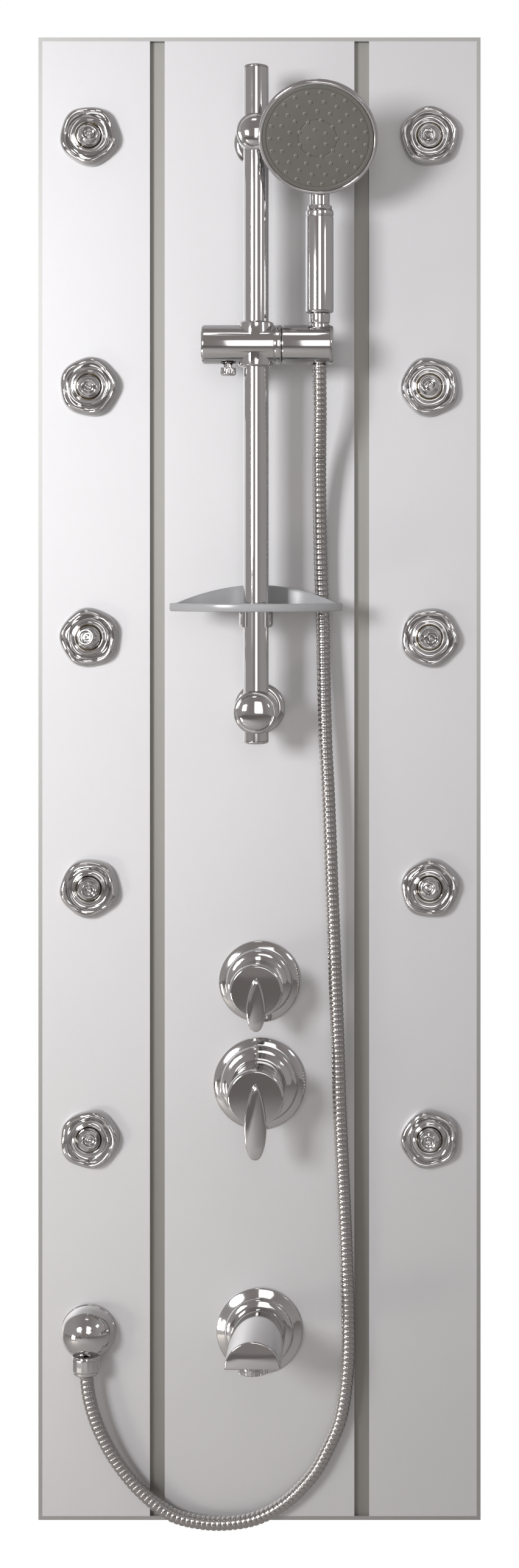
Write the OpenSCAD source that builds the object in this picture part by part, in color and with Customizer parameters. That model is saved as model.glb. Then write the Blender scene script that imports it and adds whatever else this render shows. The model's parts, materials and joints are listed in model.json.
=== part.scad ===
// Wall-hung shower panel with a hand shower on a slide rail, ten body jets,
// a soap dish, a diverter, a mixer, a bath spout and a hose outlet.
// X runs to the right, -Y out of the wall, +Z up. The origin is the middle of
// the four wall screws, on the wall.

/* [Panel] */
// Width of the panel
panel_w = 450; // [400:5:560]
// Height of the panel
panel_h = 1510; // [1440:10:1900]
// Distance from the wall to the panel's front face
panel_d = 50; // [46:1:70]
// Thickness of the aluminium strips
sheet = 3; // [2:0.5:4]
// Distance from the middle to the centre of each groove
groove_x = 104; // [96:1:125]
// Width of each groove
groove_w = 15; // [8:1:24]
// Depth of each groove
groove_d = 6; // [4:1:9]
// Width of the side profiles and height of the end caps, seen from the front
edge_w = 4; // [3:0.5:8]

/* [Wall fixing] */
// Distance across between the wall screws
fixing_x = 260; // [220:10:260]
// Height between the wall screws
fixing_z = 1320; // [1300:10:1320]
// Diameter of the holes for the wall screws
fixing_hole = 6.5; // [5:0.5:8]

/* [Rail] */
// Diameter of the rail
rail_d = 25; // [20:0.5:28]
// Wall of the rail
rail_wall = 1.5; // [1:0.25:2.5]
// Distance from the panel to the rail's axis
rail_out = 57; // [52:1:75]
// Height of the rail's lower end
rail_bottom = 43; // [20:1:50]
// Height of the rail's upper end
rail_top = 712; // [700:1:735]
// Height of the lower bracket
low_bracket_z = 72; // [70:1:80]
// Height of the upper bracket
top_bracket_z = 647; // [640:1:655]
// Diameter of the lower bracket
low_bracket_d = 44; // [40:1:50]
// Diameter of the upper bracket
top_bracket_d = 38; // [36:1:44]
// Diameter of the bracket flanges
bracket_flange_d = 52; // [48:1:60]

/* [Hand shower] */
// Height of the slider
slider_z = 437; // [420:1:450]
// Diameter of the slider
slider_d = 39; // [36:0.5:44]
// Left end of the slider, measured from the rail
slider_left = 54; // [50:1:60]
// Right end of the handset holder, measured from the rail
holder_right = 77; // [77:1:90]
// Split between slider and holder
holder_split = 26; // [22:0.5:30]
// Distance from the rail to the handset's axis
handset_x = 63; // [60:0.5:64]
// Diameter of the handset's face
face_d = 117; // [100:1:122]
// Tilt of the handset's face
face_tilt = 30; // [20:1:35]
// Diameter of the grip
grip_d = 28; // [24:0.5:30]
// Length of the grip
grip_len = 107; // [90:1:115]
// Diameter of the neck
neck_d = 20; // [18:0.5:22]
// Diameter of the release button
button_d = 16; // [12:0.5:20]

/* [Hose] */
// Diameter of the hose
hose_d = 14; // [12:0.5:15]
// Height of the hose outlet and the spout
outlet_z = -562; // [-566:1:-555]
// Distance from the middle to the hose outlet
outlet_x = 174; // [168:1:178]
// Diameter of the outlet's dome
outlet_d = 56; // [52:1:60]

/* [Soap dish] */
// Width of the dish
dish_w = 172; // [150:2:180]
// Depth of the dish, front to back
dish_depth = 74; // [66:1:78]
// Height of the dish's lip
dish_z = 180; // [170:1:190]
// Height of the back wall above the lip
dish_back = 20; // [12:1:26]
// Wall of the dish
dish_wall = 2.5; // [2:0.25:4]

/* [Jets] */
// Number of jets in each column
jet_rows = 5; // [3:1:5]
// Height between jets
jet_pitch = 255; // [240:1:256]
// Height of the lowest jet
jet_z0 = -366; // [-370:1:-340]
// Distance from the middle to each column
jet_x = 173; // [168:1:178]
// Diameter of the rose
rose_d = 60; // [54:1:66]
// Diameter of the ball nozzle
ball_d = 25; // [20:0.5:27]

/* [Valves] */
// Height of the diverter
diverter_z = -206; // [-212:1:-200]
// Diameter of the diverter's cover
diverter_cover_d = 83; // [76:1:86]
// Diameter of the diverter's knob
diverter_knob_d = 54; // [46:1:56]
// Distance from the panel to the diverter knob's face
diverter_out = 66; // [50:1:70]
// Height of the mixer
mixer_z = -310; // [-320:1:-306]
// Diameter of the mixer's cover
mixer_cover_d = 94; // [84:1:98]
// Diameter of the mixer's knob
mixer_knob_d = 57; // [48:1:60]
// Distance from the panel to the mixer knob's face
mixer_out = 76; // [58:1:80]

/* [Spout] */
// Diameter of the spout's body
spout_d = 55; // [46:1:60]
// Length of the spout
spout_len = 110; // [90:1:130]
// Diameter of the spout's flange
spout_flange_d = 88; // [76:1:92]
// Diameter of the aerator
aerator_d = 30; // [26:1:32]

/* [Hidden] */
$fn = 96;

eps = 1;            // overshoot of a cutting tool
fit = 0.05;         // radial clearance of a running fit
gap = 0.5;          // clearance between pieces that never touch
seat = 0.3;         // clearance of a ball in its seat

// panel
front = -panel_d;                   // front face of the panel
back = front + sheet;               // back face of the strips
channel_floor = front + groove_d;   // floor of a groove
channel_back = channel_floor + sheet;
channel_lip = 18;                   // half width of a groove channel
half_w = panel_w / 2;
half_h = panel_h / 2;
plate = 3;                          // steel of the brackets and hangers
strip_h = panel_h - 2 * edge_w;     // strips run between the end caps
wing_in = groove_x + groove_w / 2;  // inner edge of a wing
wing_out = half_w - edge_w;         // outer edge of a wing
profile_lip = 14;                   // lip of a side profile behind the wing
wall_gap = 1;                       // the panel's edges stop short of the wall
cap_opening_w = 270;                // opening of the bottom cap for the supply hoses
cap_rim = 12;                       // rim of the bottom cap round that opening
screw_r = 1.5;                      // screws from behind, from the channels into the strips
screw_off = (groove_w / 2 + channel_lip) / 2;
screw_heights = [for (i = [-2 : 2]) i * (strip_h - 120) / 4];

// wall brackets
bracket_w = fixing_x + 40;
bracket_h = 50;
hook_rise = 12;
hook_y = 12;                        // distance from the wall to the hook
hanger_w = 2 * (groove_x - channel_lip) - 12;
hanger_drop = 20;                   // height of a hanger on the panel's back
hanger_hook = 8;                    // overlap of hanger and hook

// rail
rail_r = rail_d / 2;
rail_y = front - rail_out;
stud_r = 4;
stud_depth = 14;                    // depth of a stud in its bracket
nut_t = 6;
flange_t = 4;
plug_t = 3;                         // cap of a rail plug
plug_depth = 8;                     // its part inside the rail
bracket_dome = 8;                   // height of a bracket's domed front

// slider and handset
slider_r = slider_d / 2;
end_bevel = 1.5;                    // chamfer at the ends of slider, holder and grip
pivot_r = 5;
pivot_x = rail_r + 3;
cone_top_d = 22;
cone_low_d = 18;
cone_low_z = slider_z - 14;
cone_slack = 0.3;                   // the cone nut sits this much inside its seat
grip_z = slider_z + 31;
neck_z = grip_z + grip_len;
collar_h = 4;                       // narrower ring at the top of the grip
grip_bore = 7;
face_z = neck_z + 59;
face_y = rail_y - 43;
head_t = 24;
rim_t = 9;
face_rim = 4;                       // chromed rim round the face plate
face_t = 4;                         // depth of the face plate's seat
chamber_depth = 6;                  // water chamber behind the face plate
nozzle_r = 1.4;
nozzle_out = 0.8;                   // how far the nozzles stand out
NOZZLE_RINGS = [[12, 4], [24, 8], [36, 14], [47, 20]]; // radius, number
button_x = 28;
button_travel = 3;
button_cap = 12;                    // from the slider down to the button's face
button_stem_r = 3;
button_bore_top = slider_z - slider_r / 2 + 6;
spring_h = 8;

// hose route: round numbers, from the handset down and round to the outlet
HOSE = [
    [63, -107, 423], [63, -107, 405], [63, -99, 370], [62, -80, 320], [62, -70, 270],
    [63, -66, 215], [65, -67, 160], [66, -70, 110], [68, -75, 40], [71, -77, -20],
    [74, -77, -100], [77, -74, -180], [80, -71, -260], [82, -68, -330], [85, -66, -400],
    [88, -64, -470], [90, -62, -535], [90, -61, -590], [83, -60, -645], [67, -60, -684],
    [52, -60, -708], [28, -60, -732], [0, -60, -748], [-30, -60, -754], [-60, -60, -753],
    [-90, -61, -744], [-120, -62, -720], [-145, -64, -688], [-162, -66, -655],
    [-171, -67, -625], [-174, -68, -601]
];
hose_sides = 10;
hose_rings_per_step = 2;

// hose outlet
outlet_y = front - 18;
outlet_drop = 18;                   // from the outlet's centre to the nut's top
outlet_nut_d = 29;
outlet_thread = 12;                 // length of the hose thread
outlet_bore = 6;
hose_bore = 4;
outlet_nut_len = HOSE[len(HOSE) - 1][2] < outlet_z
    ? outlet_z - outlet_drop - HOSE[len(HOSE) - 1][2] : 10;

// soap dish
dish_h = 8;
dish_low = dish_z - dish_h;
drain_r = 3;
clamp_r = 17;
clamp_h = 18;
clamp_slot = 2;                     // split of the clamp, towards the panel

// pipework
valve_y = -18;                      // axis of all pipes behind the panel

// jets
rose_t = 12;
ball_r = ball_d / 2;
ball_flat = 2;                      // depth of the flat outlet face
ball_y = front - 6;                 // centre of a ball
socket_r = ball_r + 5;
manifold_r = 11;
tee_r = 9;
socket_back = valve_y - manifold_r - 3;
// how each ball is aimed: up or down, then left or right
JET_AIM = [
    [-8, 10], [6, 8], [-5, -10], [9, 6], [-7, 9],
    [8, -9], [-6, -8], [7, 10], [-9, -6], [5, -10]
];

// valves
cover_t = 16;
cover_gap = 1;
valve_r = 20;
valve_boss = valve_r + 4;           // height of the boss for the pipe between the valves
neck_r = 15;
valve_end = -5;                     // rear end of a valve body
spindle_r = 4;
inlet_r = 10.45;                    // G1/2 male thread
inlet_x = 75;                       // 150 mm between hot and cold
inlet_len = 16;
inlet_y = -wall_gap - inlet_len;    // shoulder of an inlet
inlet_bar_y = -29;                  // axis of the bar between the inlets
cross_arm = 40;                     // half length of the diverter's cross pipe
feed_r = 7;
cross_bore = 5;
drop_x = 105;                       // pipes that run down to the outlets
boss_len = 22;                      // side boss of a manifold, from its axis
stub_back = back + 12;              // rear end of an outlet's stub
pipe_r = 9;
pipe_wall = 1.5;
thread_r = inlet_r;

// spout
spout_front = front - 8 - spout_len;
spout_back = front - 12;
spout_wall = 3;
aerator_y = spout_front + aerator_d / 2 + 4;
aerator_h = 8;

// ---------------------------------------------------------------- helpers

// cylinder along Y from y0 to y1
module rod_y(x, z, y0, y1, r) {
    translate([x, max(y0, y1), z])
        rotate([90, 0, 0])
            cylinder(r = r, h = abs(y1 - y0));
}

// cylinder along X from x0 to x1
module rod_x(y, z, x0, x1, r) {
    translate([min(x0, x1), y, z])
        rotate([0, 90, 0])
            cylinder(r = r, h = abs(x1 - x0));
}

// cylinder along Z from z0 to z1
module rod_z(x, y, z0, z1, r) {
    translate([x, y, min(z0, z1)])
        cylinder(r = r, h = abs(z1 - z0));
}

// box between two corners
module slab(low, high) {
    translate(low)
        cube(high - low);
}

// turned shape on an axis that points out of the wall, from y = y0
module turned_y(x, z, y0) {
    translate([x, y0, z])
        rotate([90, 0, 0])
            rotate_extrude()
                children();
}

// quarter of an oval, from [0, h] down to [r, 0], closed on the axis
function dome_points(r, h, n = 12) =
    concat([[0, 0]], [for (i = [0 : n]) [r * cos(90 * i / n), h * sin(90 * i / n)]]);

// domed cover on the panel with a hole for a shaft, with a stepped rim
module cover(z, r, h, hole_r) {
    difference() {
        union() {
            rod_y(0, z, front, front - 3, r);
            turned_y(0, z, front - 3)
                polygon(dome_points(r - 3, h - 3));
        }
        rod_y(0, z, front + eps, front - h - eps, hole_r);
        turned_y(0, z, front + eps)
            polygon([[0, 0], [r - 6, 0], [r - 9, 4], [r / 2, h - 4], [0, h - 4]]);
    }
}

// place each jet, with its number as $jet
module at_jets(side = 0) {
    for (i = [0 : 2 * jet_rows - 1]) {
        $jet = i;
        left = i < jet_rows;
        if (side == 0 || (side < 0) == left)
            translate([left ? -jet_x : jet_x, 0, jet_z0 + (i % jet_rows) * jet_pitch])
                children();
    }
}

// ---------------------------------------------------------------- panel

module centre_panel() {
    edge = groove_x - groove_w / 2;
    color("gainsboro")
        difference() {
            slab([-edge, front, -strip_h / 2], [edge, back, strip_h / 2]);
            for (z = [low_bracket_z, top_bracket_z])
                rod_y(0, z, front - eps, back + eps, stud_r);
            for (z = [diverter_z, mixer_z])
                rod_y(0, z, front - eps, back + eps, neck_r);
            rod_y(0, outlet_z, front - eps, back + eps, pipe_r);
        }
}

module wing_panel(side) {
    difference() {
        slab([wing_in, front, -strip_h / 2], [wing_out, back, strip_h / 2]);
        for (i = [0 : jet_rows - 1])
            rod_y(jet_x, jet_z0 + i * jet_pitch, front - eps, back + eps, socket_r);
        if (side < 0)
            rod_y(outlet_x, outlet_z, front - eps, back + eps, pipe_r);
    }
}

module left_wing_panel() {
    color("gainsboro")
        mirror([1, 0, 0])
            wing_panel(-1);
}

module right_wing_panel() {
    color("silver")
        wing_panel(1);
}

// channel behind the joint between two strips: its front slot is the groove
module groove_channel(side) {
    x = side * groove_x;
    difference() {
        slab([x - channel_lip, back, -strip_h / 2], [x + channel_lip, channel_back, strip_h / 2]);
        slab([x - groove_w / 2, back - eps, -strip_h / 2 - eps],
             [x + groove_w / 2, channel_floor, strip_h / 2 + eps]);
        for (z = screw_heights)
            for (s = [-1, 1])
                rod_y(x + s * screw_off, z, back - eps, channel_back + eps, screw_r);
    }
}

module left_groove_channel() {
    color("dimgray")
        groove_channel(-1);
}

module right_groove_channel() {
    color("dimgray")
        groove_channel(1);
}

// screws that hold the channels to the strips, from behind
module channel_screws() {
    color("darkgray")
        for (side = [-1, 1])
            for (z = screw_heights)
                for (s = [-1, 1]) {
                    x = side * groove_x + s * screw_off;
                    rod_y(x, z, back, channel_back + 2, screw_r);
                    rod_y(x, z, channel_back, channel_back + 2, 2 * screw_r);
                }
}

// edge trim with a lip behind the wing
module side_profile() {
    slab([wing_out, front, -strip_h / 2], [half_w, -wall_gap, strip_h / 2]);
    slab([wing_out - profile_lip, back, -strip_h / 2], [wing_out, back + 3, strip_h / 2]);
}

module left_side_profile() {
    color("darkgray")
        mirror([1, 0, 0])
            side_profile();
}

module right_side_profile() {
    color("darkgray")
        side_profile();
}

module top_cap() {
    color("darkgray")
        slab([-half_w, front, strip_h / 2], [half_w, -wall_gap, half_h]);
}

module bottom_cap() {
    color("darkgray")
        difference() {
            slab([-half_w, front, -half_h], [half_w, -wall_gap, -strip_h / 2]);
            slab([-cap_opening_w / 2, front + cap_rim, -half_h - eps],
                 [cap_opening_w / 2, -cap_rim, -strip_h / 2 + eps]);
        }
}

// ---------------------------------------------------------------- wall fixing

module wall_bracket(z) {
    difference() {
        union() {
            slab([-bracket_w / 2, -plate, z - bracket_h / 2],
                 [bracket_w / 2, 0, z + bracket_h / 2]);
            slab([-bracket_w / 2, -hook_y - plate, z + bracket_h / 2 - plate],
                 [bracket_w / 2, -plate, z + bracket_h / 2]);
            slab([-bracket_w / 2, -hook_y - plate, z + bracket_h / 2],
                 [bracket_w / 2, -hook_y, z + bracket_h / 2 + hook_rise]);
        }
        for (x = [-fixing_x / 2, fixing_x / 2])
            rod_y(x, z, eps, -plate - eps, fixing_hole / 2);
    }
}

module upper_wall_bracket() {
    color("silver")
        wall_bracket(fixing_z / 2);
}

module lower_wall_bracket() {
    color("silver")
        wall_bracket(-fixing_z / 2);
}

// strips on the panel's back that drop over the hooks
module panel_hangers() {
    color("silver")
        for (z = [-fixing_z / 2, fixing_z / 2]) {
            top = z + bracket_h / 2 + hook_rise;
            union() {
                slab([-hanger_w / 2, back, top - hanger_drop],
                     [hanger_w / 2, back + plate, top]);
                slab([-hanger_w / 2, back, top],
                     [hanger_w / 2, -hook_y + gap + plate, top + plate]);
                slab([-hanger_w / 2, -hook_y + gap, top - hanger_hook],
                     [hanger_w / 2, -hook_y + gap + plate, top]);
            }
        }
}

// ---------------------------------------------------------------- rail

module rail_tube() {
    color("silver")
        difference() {
            rod_z(0, rail_y, rail_bottom, rail_top, rail_r);
            rod_z(0, rail_y, rail_bottom - eps, rail_top + eps, rail_r - rail_wall);
        }
}

module rail_end_plugs() {
    inner_r = rail_r - rail_wall;
    color("silver")
        for (end = [0, 1])
            translate([0, rail_y, end == 1 ? rail_top : rail_bottom])
                mirror([0, 0, 1 - end])
                    rotate_extrude()
                        polygon([
                            [0, -plug_depth], [inner_r, -plug_depth], [inner_r, 0], [rail_r, 0],
                            [rail_r - 1, plug_t - 1], [rail_r - 3, plug_t], [0, plug_t]
                        ]);
}

// post from the flange round the rail, with a domed front
module rail_bracket(z, d) {
    dome_y = rail_y - rail_r + 1;
    difference() {
        union() {
            rod_y(0, z, front - flange_t, dome_y, d / 2);
            turned_y(0, z, dome_y)
                polygon(dome_points(d / 2, bracket_dome));
        }
        rod_z(0, rail_y, z - d, z + d, rail_r);
        rod_y(0, z, front + eps, front - flange_t - stud_depth, stud_r);
    }
}

module upper_rail_bracket() {
    color("silver")
        rail_bracket(top_bracket_z, top_bracket_d);
}

module lower_rail_bracket() {
    color("silver")
        rail_bracket(low_bracket_z, low_bracket_d);
}

module rail_bracket_flanges() {
    color("silver")
        for (z = [low_bracket_z, top_bracket_z])
            difference() {
                rod_y(0, z, front, front - flange_t, bracket_flange_d / 2);
                rod_y(0, z, front + eps, front - flange_t - eps, stud_r);
            }
}

// studs through the panel with their nuts
module rail_bracket_nuts() {
    color("darkgray")
        for (z = [low_bracket_z, top_bracket_z]) {
            rod_y(0, z, back + nut_t + 3, front - flange_t - stud_depth, stud_r);
            difference() {
                rod_y(0, z, back + nut_t, back, 2 * stud_r);
                rod_y(0, z, back + nut_t + eps, back - eps, stud_r);
            }
        }
}

// ---------------------------------------------------------------- slider

module slider_body() {
    color("silver")
        difference() {
            union() {
                rod_x(rail_y, slider_z, -slider_left + 2, holder_split, slider_r);
                rod_x(rail_y, slider_z, -slider_left, -slider_left + 2, slider_r - end_bevel);
            }
            rod_z(0, rail_y, slider_z - slider_d, slider_z + slider_d, rail_r + fit);
            rod_x(rail_y, slider_z, pivot_x, holder_split + eps, pivot_r + fit);
            rod_z(-button_x, rail_y, slider_z - slider_d, button_bore_top, button_d / 2 - 2);
            rod_z(-button_x, rail_y, button_bore_top - eps, button_bore_top + 6,
                  button_stem_r + fit);
        }
}

module slider_button() {
    low = slider_z - slider_r - button_cap;
    stem_z = button_bore_top - spring_h;
    color("silver")
        union() {
            rod_z(-button_x, rail_y, low, low + button_cap - gap - button_travel, button_d / 2);
            rod_z(-button_x, rail_y, low + 8, stem_z, button_d / 2 - 3.5);
            rod_z(-button_x, rail_y, stem_z, button_bore_top + 2, button_stem_r);
        }
}

// spring round the button's stem, as a plain sleeve of its outer size
module slider_spring() {
    low = button_bore_top - spring_h;
    color("dimgray")
        difference() {
            rod_z(-button_x, rail_y, low, button_bore_top, button_stem_r + 1.5);
            rod_z(-button_x, rail_y, low - eps, button_bore_top + eps, button_stem_r + 0.5);
        }
}

// swivelling cradle with a conical seat, open towards the panel
module handset_holder() {
    seat_top = slider_z + slider_r + eps;
    seat_low = slider_z - slider_r - eps;
    color("silver")
        difference() {
            union() {
                rod_x(rail_y, slider_z, holder_split, holder_right - 2, slider_r);
                rod_x(rail_y, slider_z, holder_right - 2, holder_right, slider_r - end_bevel);
                rod_x(rail_y, slider_z, pivot_x + gap, holder_split, pivot_r);
            }
            translate([handset_x, rail_y, cone_low_z])
                cylinder(r1 = cone_low_d / 2, r2 = cone_top_d / 2, h = grip_z - cone_low_z);
            rod_z(handset_x, rail_y, seat_low, cone_low_z + eps, cone_low_d / 2);
            slab([handset_x - hose_d / 2 - 1, rail_y, seat_low],
                 [handset_x + hose_d / 2 + 1, rail_y + slider_r + eps, seat_top]);
        }
}

// ---------------------------------------------------------------- handset

// frame of the tilted head: z of this frame points back out of the face
module at_face() {
    translate([handset_x, face_y, face_z])
        rotate([-90 + face_tilt, 0, 0])
            children();
}

module handset_head() {
    color("silver")
        difference() {
            union() {
                at_face()
                    rotate_extrude()
                        polygon(concat(
                            [[0, 0], [face_d / 2 - 1, 0], [face_d / 2, 1.5], [face_d / 2, rim_t - 3]],
                            [for (i = [0 : 10])
                                [(face_d / 2 - 2) * cos(9 * i),
                                 rim_t - 2 + (head_t - rim_t + 2) * sin(9 * i)]]
                        ));
                hull() {
                    rod_z(handset_x, rail_y, neck_z, neck_z + 12, neck_d / 2, $fn = 32);
                    at_face()
                        translate([0, -30, 11])
                            cylinder(r = neck_d / 2 + 2, h = 6, $fn = 32);
                }
            }
            at_face() {
                translate([0, 0, -eps])
                    cylinder(r = face_d / 2 - face_rim, h = face_t + eps);
                translate([0, 0, face_t - eps])
                    cylinder(r = face_d / 2 - face_rim - 5, h = chamber_depth + eps);
            }
        }
}

module handset_grip() {
    color("silver")
        difference() {
            union() {
                rod_z(handset_x, rail_y, grip_z, neck_z - collar_h, grip_d / 2);
                rod_z(handset_x, rail_y, neck_z - collar_h, neck_z, grip_d / 2 - end_bevel);
            }
            rod_z(handset_x, rail_y, grip_z - eps, neck_z + eps, grip_bore);
        }
}

module handset_face() {
    color("dimgray")
        at_face()
            difference() {
                translate([0, 0, 0.5])
                    cylinder(r = face_d / 2 - face_rim, h = face_t - 0.5);
                at_nozzles()
                    translate([0, 0, -eps])
                        cylinder(r = nozzle_r, h = 6);
            }
}

module at_nozzles() {
    for (ring = NOZZLE_RINGS)
        for (i = [0 : ring[1] - 1])
            rotate([0, 0, 360 * i / ring[1]])
                translate([ring[0], 0, 0])
                    children();
}

module handset_nozzles() {
    color("gray")
        at_face()
            at_nozzles()
                translate([0, 0, -nozzle_out])
                    cylinder(r = nozzle_r, h = nozzle_out + face_t);
}

// conical nut on the handset's end of the hose
module hose_cone_nut() {
    color("silver")
        translate([handset_x, rail_y, 0])
            difference() {
                translate([0, 0, cone_low_z])
                    cylinder(r1 = cone_low_d / 2 - cone_slack, r2 = cone_top_d / 2 - cone_slack,
                             h = grip_z - cone_low_z);
                translate([0, 0, cone_low_z - eps])
                    cylinder(r = hose_bore, h = grip_z - cone_low_z + 2 * eps);
            }
}

// ---------------------------------------------------------------- hose

// Catmull-Rom point between p1 and p2
function blend_point(p0, p1, p2, p3, t) =
    0.5 * (2 * p1 + (p2 - p0) * t + (2 * p0 - 5 * p1 + 4 * p2 - p3) * t * t
           + (3 * p1 - p0 - 3 * p2 + p3) * t * t * t);
last = len(HOSE) - 1;
function hose_at(i, t) =
    blend_point(HOSE[max(i - 1, 0)], HOSE[i], HOSE[min(i + 1, last)], HOSE[min(i + 2, last)], t);
HOSE_PATH = concat(
    [for (i = [0 : last - 1], k = [0 : hose_rings_per_step - 1])
        hose_at(i, k / hose_rings_per_step)],
    [HOSE[last]]);
hose_end = len(HOSE_PATH) - 1;
function unit(v) = v / norm(v);
function hose_way(i) =
    i == 0 || i == hose_end ? [0, 0, i == 0 ? -1 : 1]
    : unit(HOSE_PATH[i + 1] - HOSE_PATH[i - 1]);
function hose_side(i) = unit(cross(hose_way(i), [0, 1, 0]));
function hose_ring(i) =
    let (a = hose_side(i), b = cross(hose_way(i), a))
    [for (k = [0 : hose_sides - 1])
        HOSE_PATH[i] + hose_d / 2 * (a * cos(360 * k / hose_sides) + b * sin(360 * k / hose_sides))];

module shower_hose() {
    points = [for (i = [0 : hose_end]) each hose_ring(i)];
    sides = [for (i = [0 : hose_end - 1], k = [0 : hose_sides - 1])
        let (n = (k + 1) % hose_sides, a = i * hose_sides, b = a + hose_sides)
        each [[a + k, a + n, b + n], [a + k, b + n, b + k]]];
    near = [[for (k = [hose_sides - 1 : -1 : 0]) k]];
    far = [[for (k = [0 : hose_sides - 1]) hose_end * hose_sides + k]];
    color("darkgray")
        polyhedron(points = points, faces = concat(near, sides, far));
}

module hose_outlet_nut() {
    low = outlet_z - outlet_drop - outlet_nut_len;
    color("silver")
        difference() {
            rod_z(-outlet_x, outlet_y, low, low + outlet_nut_len, outlet_nut_d / 2);
            rod_z(-outlet_x, outlet_y, low + 8, low + outlet_nut_len + eps, thread_r);
            rod_z(-outlet_x, outlet_y, low - eps, low + 9, hose_bore);
        }
}

// domed outlet: water comes through the panel and leaves downwards
module hose_outlet() {
    r = outlet_d / 2;
    color("silver")
        difference() {
            union() {
                rod_y(-outlet_x, outlet_z, front, front - 6, r);
                turned_y(-outlet_x, outlet_z, front - 6)
                    polygon(dome_points(r, r - 3));
                rod_z(-outlet_x, outlet_y, outlet_z - outlet_drop - outlet_thread, outlet_z, thread_r);
                rod_y(-outlet_x, outlet_z, stub_back, front, pipe_r);
            }
            rod_y(-outlet_x, outlet_z, stub_back + eps, outlet_y, outlet_bore);
            rod_z(-outlet_x, outlet_y, outlet_z - outlet_drop - outlet_thread - eps, outlet_z,
                  outlet_bore);
            difference() {
                rod_z(-outlet_x, outlet_y, outlet_z - r - eps, outlet_z - outlet_drop,
                      outlet_nut_d / 2 + gap);
                rod_z(-outlet_x, outlet_y, outlet_z - r - 2 * eps, outlet_z - outlet_drop + eps,
                      thread_r);
            }
        }
}

// ring nut that clamps the hose outlet to the panel from behind
module hose_outlet_nut_ring() {
    color("darkgray")
        difference() {
            rod_y(-outlet_x, outlet_z, back, back + nut_t, pipe_r + 5);
            rod_y(-outlet_x, outlet_z, back - eps, back + nut_t + eps, pipe_r);
        }
}

// ---------------------------------------------------------------- soap dish

// plan of the dish: two arcs that meet in points left and right
module dish_plan(w, depth) {
    half = w / 2;
    r = (half * half + depth * depth / 4) / depth;
    intersection() {
        translate([0, r - depth / 2])
            circle(r = r, $fn = 160);
        translate([0, depth / 2 - r])
            circle(r = r, $fn = 160);
    }
}

module soap_dish() {
    color("gray")
        translate([0, rail_y, dish_low])
            difference() {
                union() {
                    linear_extrude(dish_h)
                        dish_plan(dish_w, dish_depth);
                    intersection() {
                        linear_extrude(dish_h + dish_back)
                            dish_plan(dish_w, dish_depth);
                        translate([0, dish_depth / 2 - 50, dish_h - dish_wall])
                            rotate([-90, 0, 0])
                                translate([0, dish_w - dish_back, 0])
                                    cylinder(r = dish_w, h = 100, $fn = 160);
                        translate([-dish_w, 2, 0])
                            cube([2 * dish_w, dish_depth, dish_h + dish_back + eps]);
                    }
                }
                difference() {
                    translate([0, 0, dish_wall])
                        linear_extrude(dish_h + dish_back + eps)
                            dish_plan(dish_w - 8 * dish_wall, dish_depth - 2 * dish_wall);
                    cylinder(r = rail_r + 4, h = dish_h);
                }
                translate([0, 0, -eps])
                    cylinder(r = rail_r + fit, h = dish_h + 2 * eps);
                for (x = [-50, -35, 35, 50])
                    translate([x, 0, -eps])
                        cylinder(r = drain_r, h = dish_h);
            }
}

module soap_dish_clamp() {
    color("silver")
        difference() {
            rod_z(0, rail_y, dish_low - clamp_h, dish_low, clamp_r);
            rod_z(0, rail_y, dish_low - clamp_h - eps, dish_low + eps, rail_r + fit);
            slab([-clamp_slot / 2, rail_y, dish_low - clamp_h - eps],
                 [clamp_slot / 2, rail_y + clamp_r + eps, dish_low + eps]);
        }
}

// ---------------------------------------------------------------- valves

module diverter_cover() {
    color("silver")
        cover(diverter_z, diverter_cover_d / 2, cover_t, neck_r + gap);
}

module mixer_cover() {
    color("silver")
        cover(mixer_z, mixer_cover_d / 2, cover_t, neck_r + gap);
}

// knob with a fin that points down from its face
module knob(z, r, out, fin_w, fin_up, fin_down, fin_t) {
    y0 = front - cover_t - cover_gap;
    y1 = front - out;
    difference() {
        union() {
            rod_y(0, z, y0, y1 + 3, r);
            turned_y(0, z, y1 + 3)
                polygon([[0, 0], [r, 0], [r - 1, 2], [r - 3, 3], [0, 3]]);
            translate([0, y1 + 4, z + fin_up])
                rotate([90, 0, 0])
                    linear_extrude(fin_t + 4)
                        fin_plan(fin_w, fin_up + fin_down);
        }
        rod_y(0, z, y0 + eps, y0 - 12, neck_r + gap);
        rod_y(0, z, y0 - 11, y0 - 30, spindle_r);
    }
}

// leaf outline that hangs down from the origin
module fin_plan(w, l) {
    r = w / 2;
    widest = l * 0.55;
    translate([0, -r])
        circle(r = r);
    polygon([[-r, -r], [-r, -widest], [-r * 0.75, -l * 0.82], [-r * 0.2, -l],
             [r * 0.2, -l], [r * 0.75, -l * 0.82], [r, -widest], [r, -r]]);
}

module diverter_knob() {
    color("silver")
        knob(diverter_z, diverter_knob_d / 2, diverter_out - 6, 19, 13, 39, 6);
}

module mixer_knob() {
    color("silver")
        knob(mixer_z, mixer_knob_d / 2, mixer_out - 7, 22, 14, 60, 7);
}

// spindle from the cartridge into the knob
module spindle(z) {
    y0 = front - cover_t - cover_gap;
    rod_y(0, z, y0 - 8, y0 - 30, spindle_r);
    rod_y(0, z, front + 12, y0 - 8, spindle_r + 2);
}

module diverter_spindle() {
    color("goldenrod")
        spindle(diverter_z);
}

module mixer_spindle() {
    color("goldenrod")
        spindle(mixer_z);
}

// brass body behind the panel with its neck through it
module valve_body(z) {
    rod_y(0, z, back, valve_end, valve_r);
    rod_y(0, z, back, front - cover_t - cover_gap - 4, neck_r - fit);
}

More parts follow.
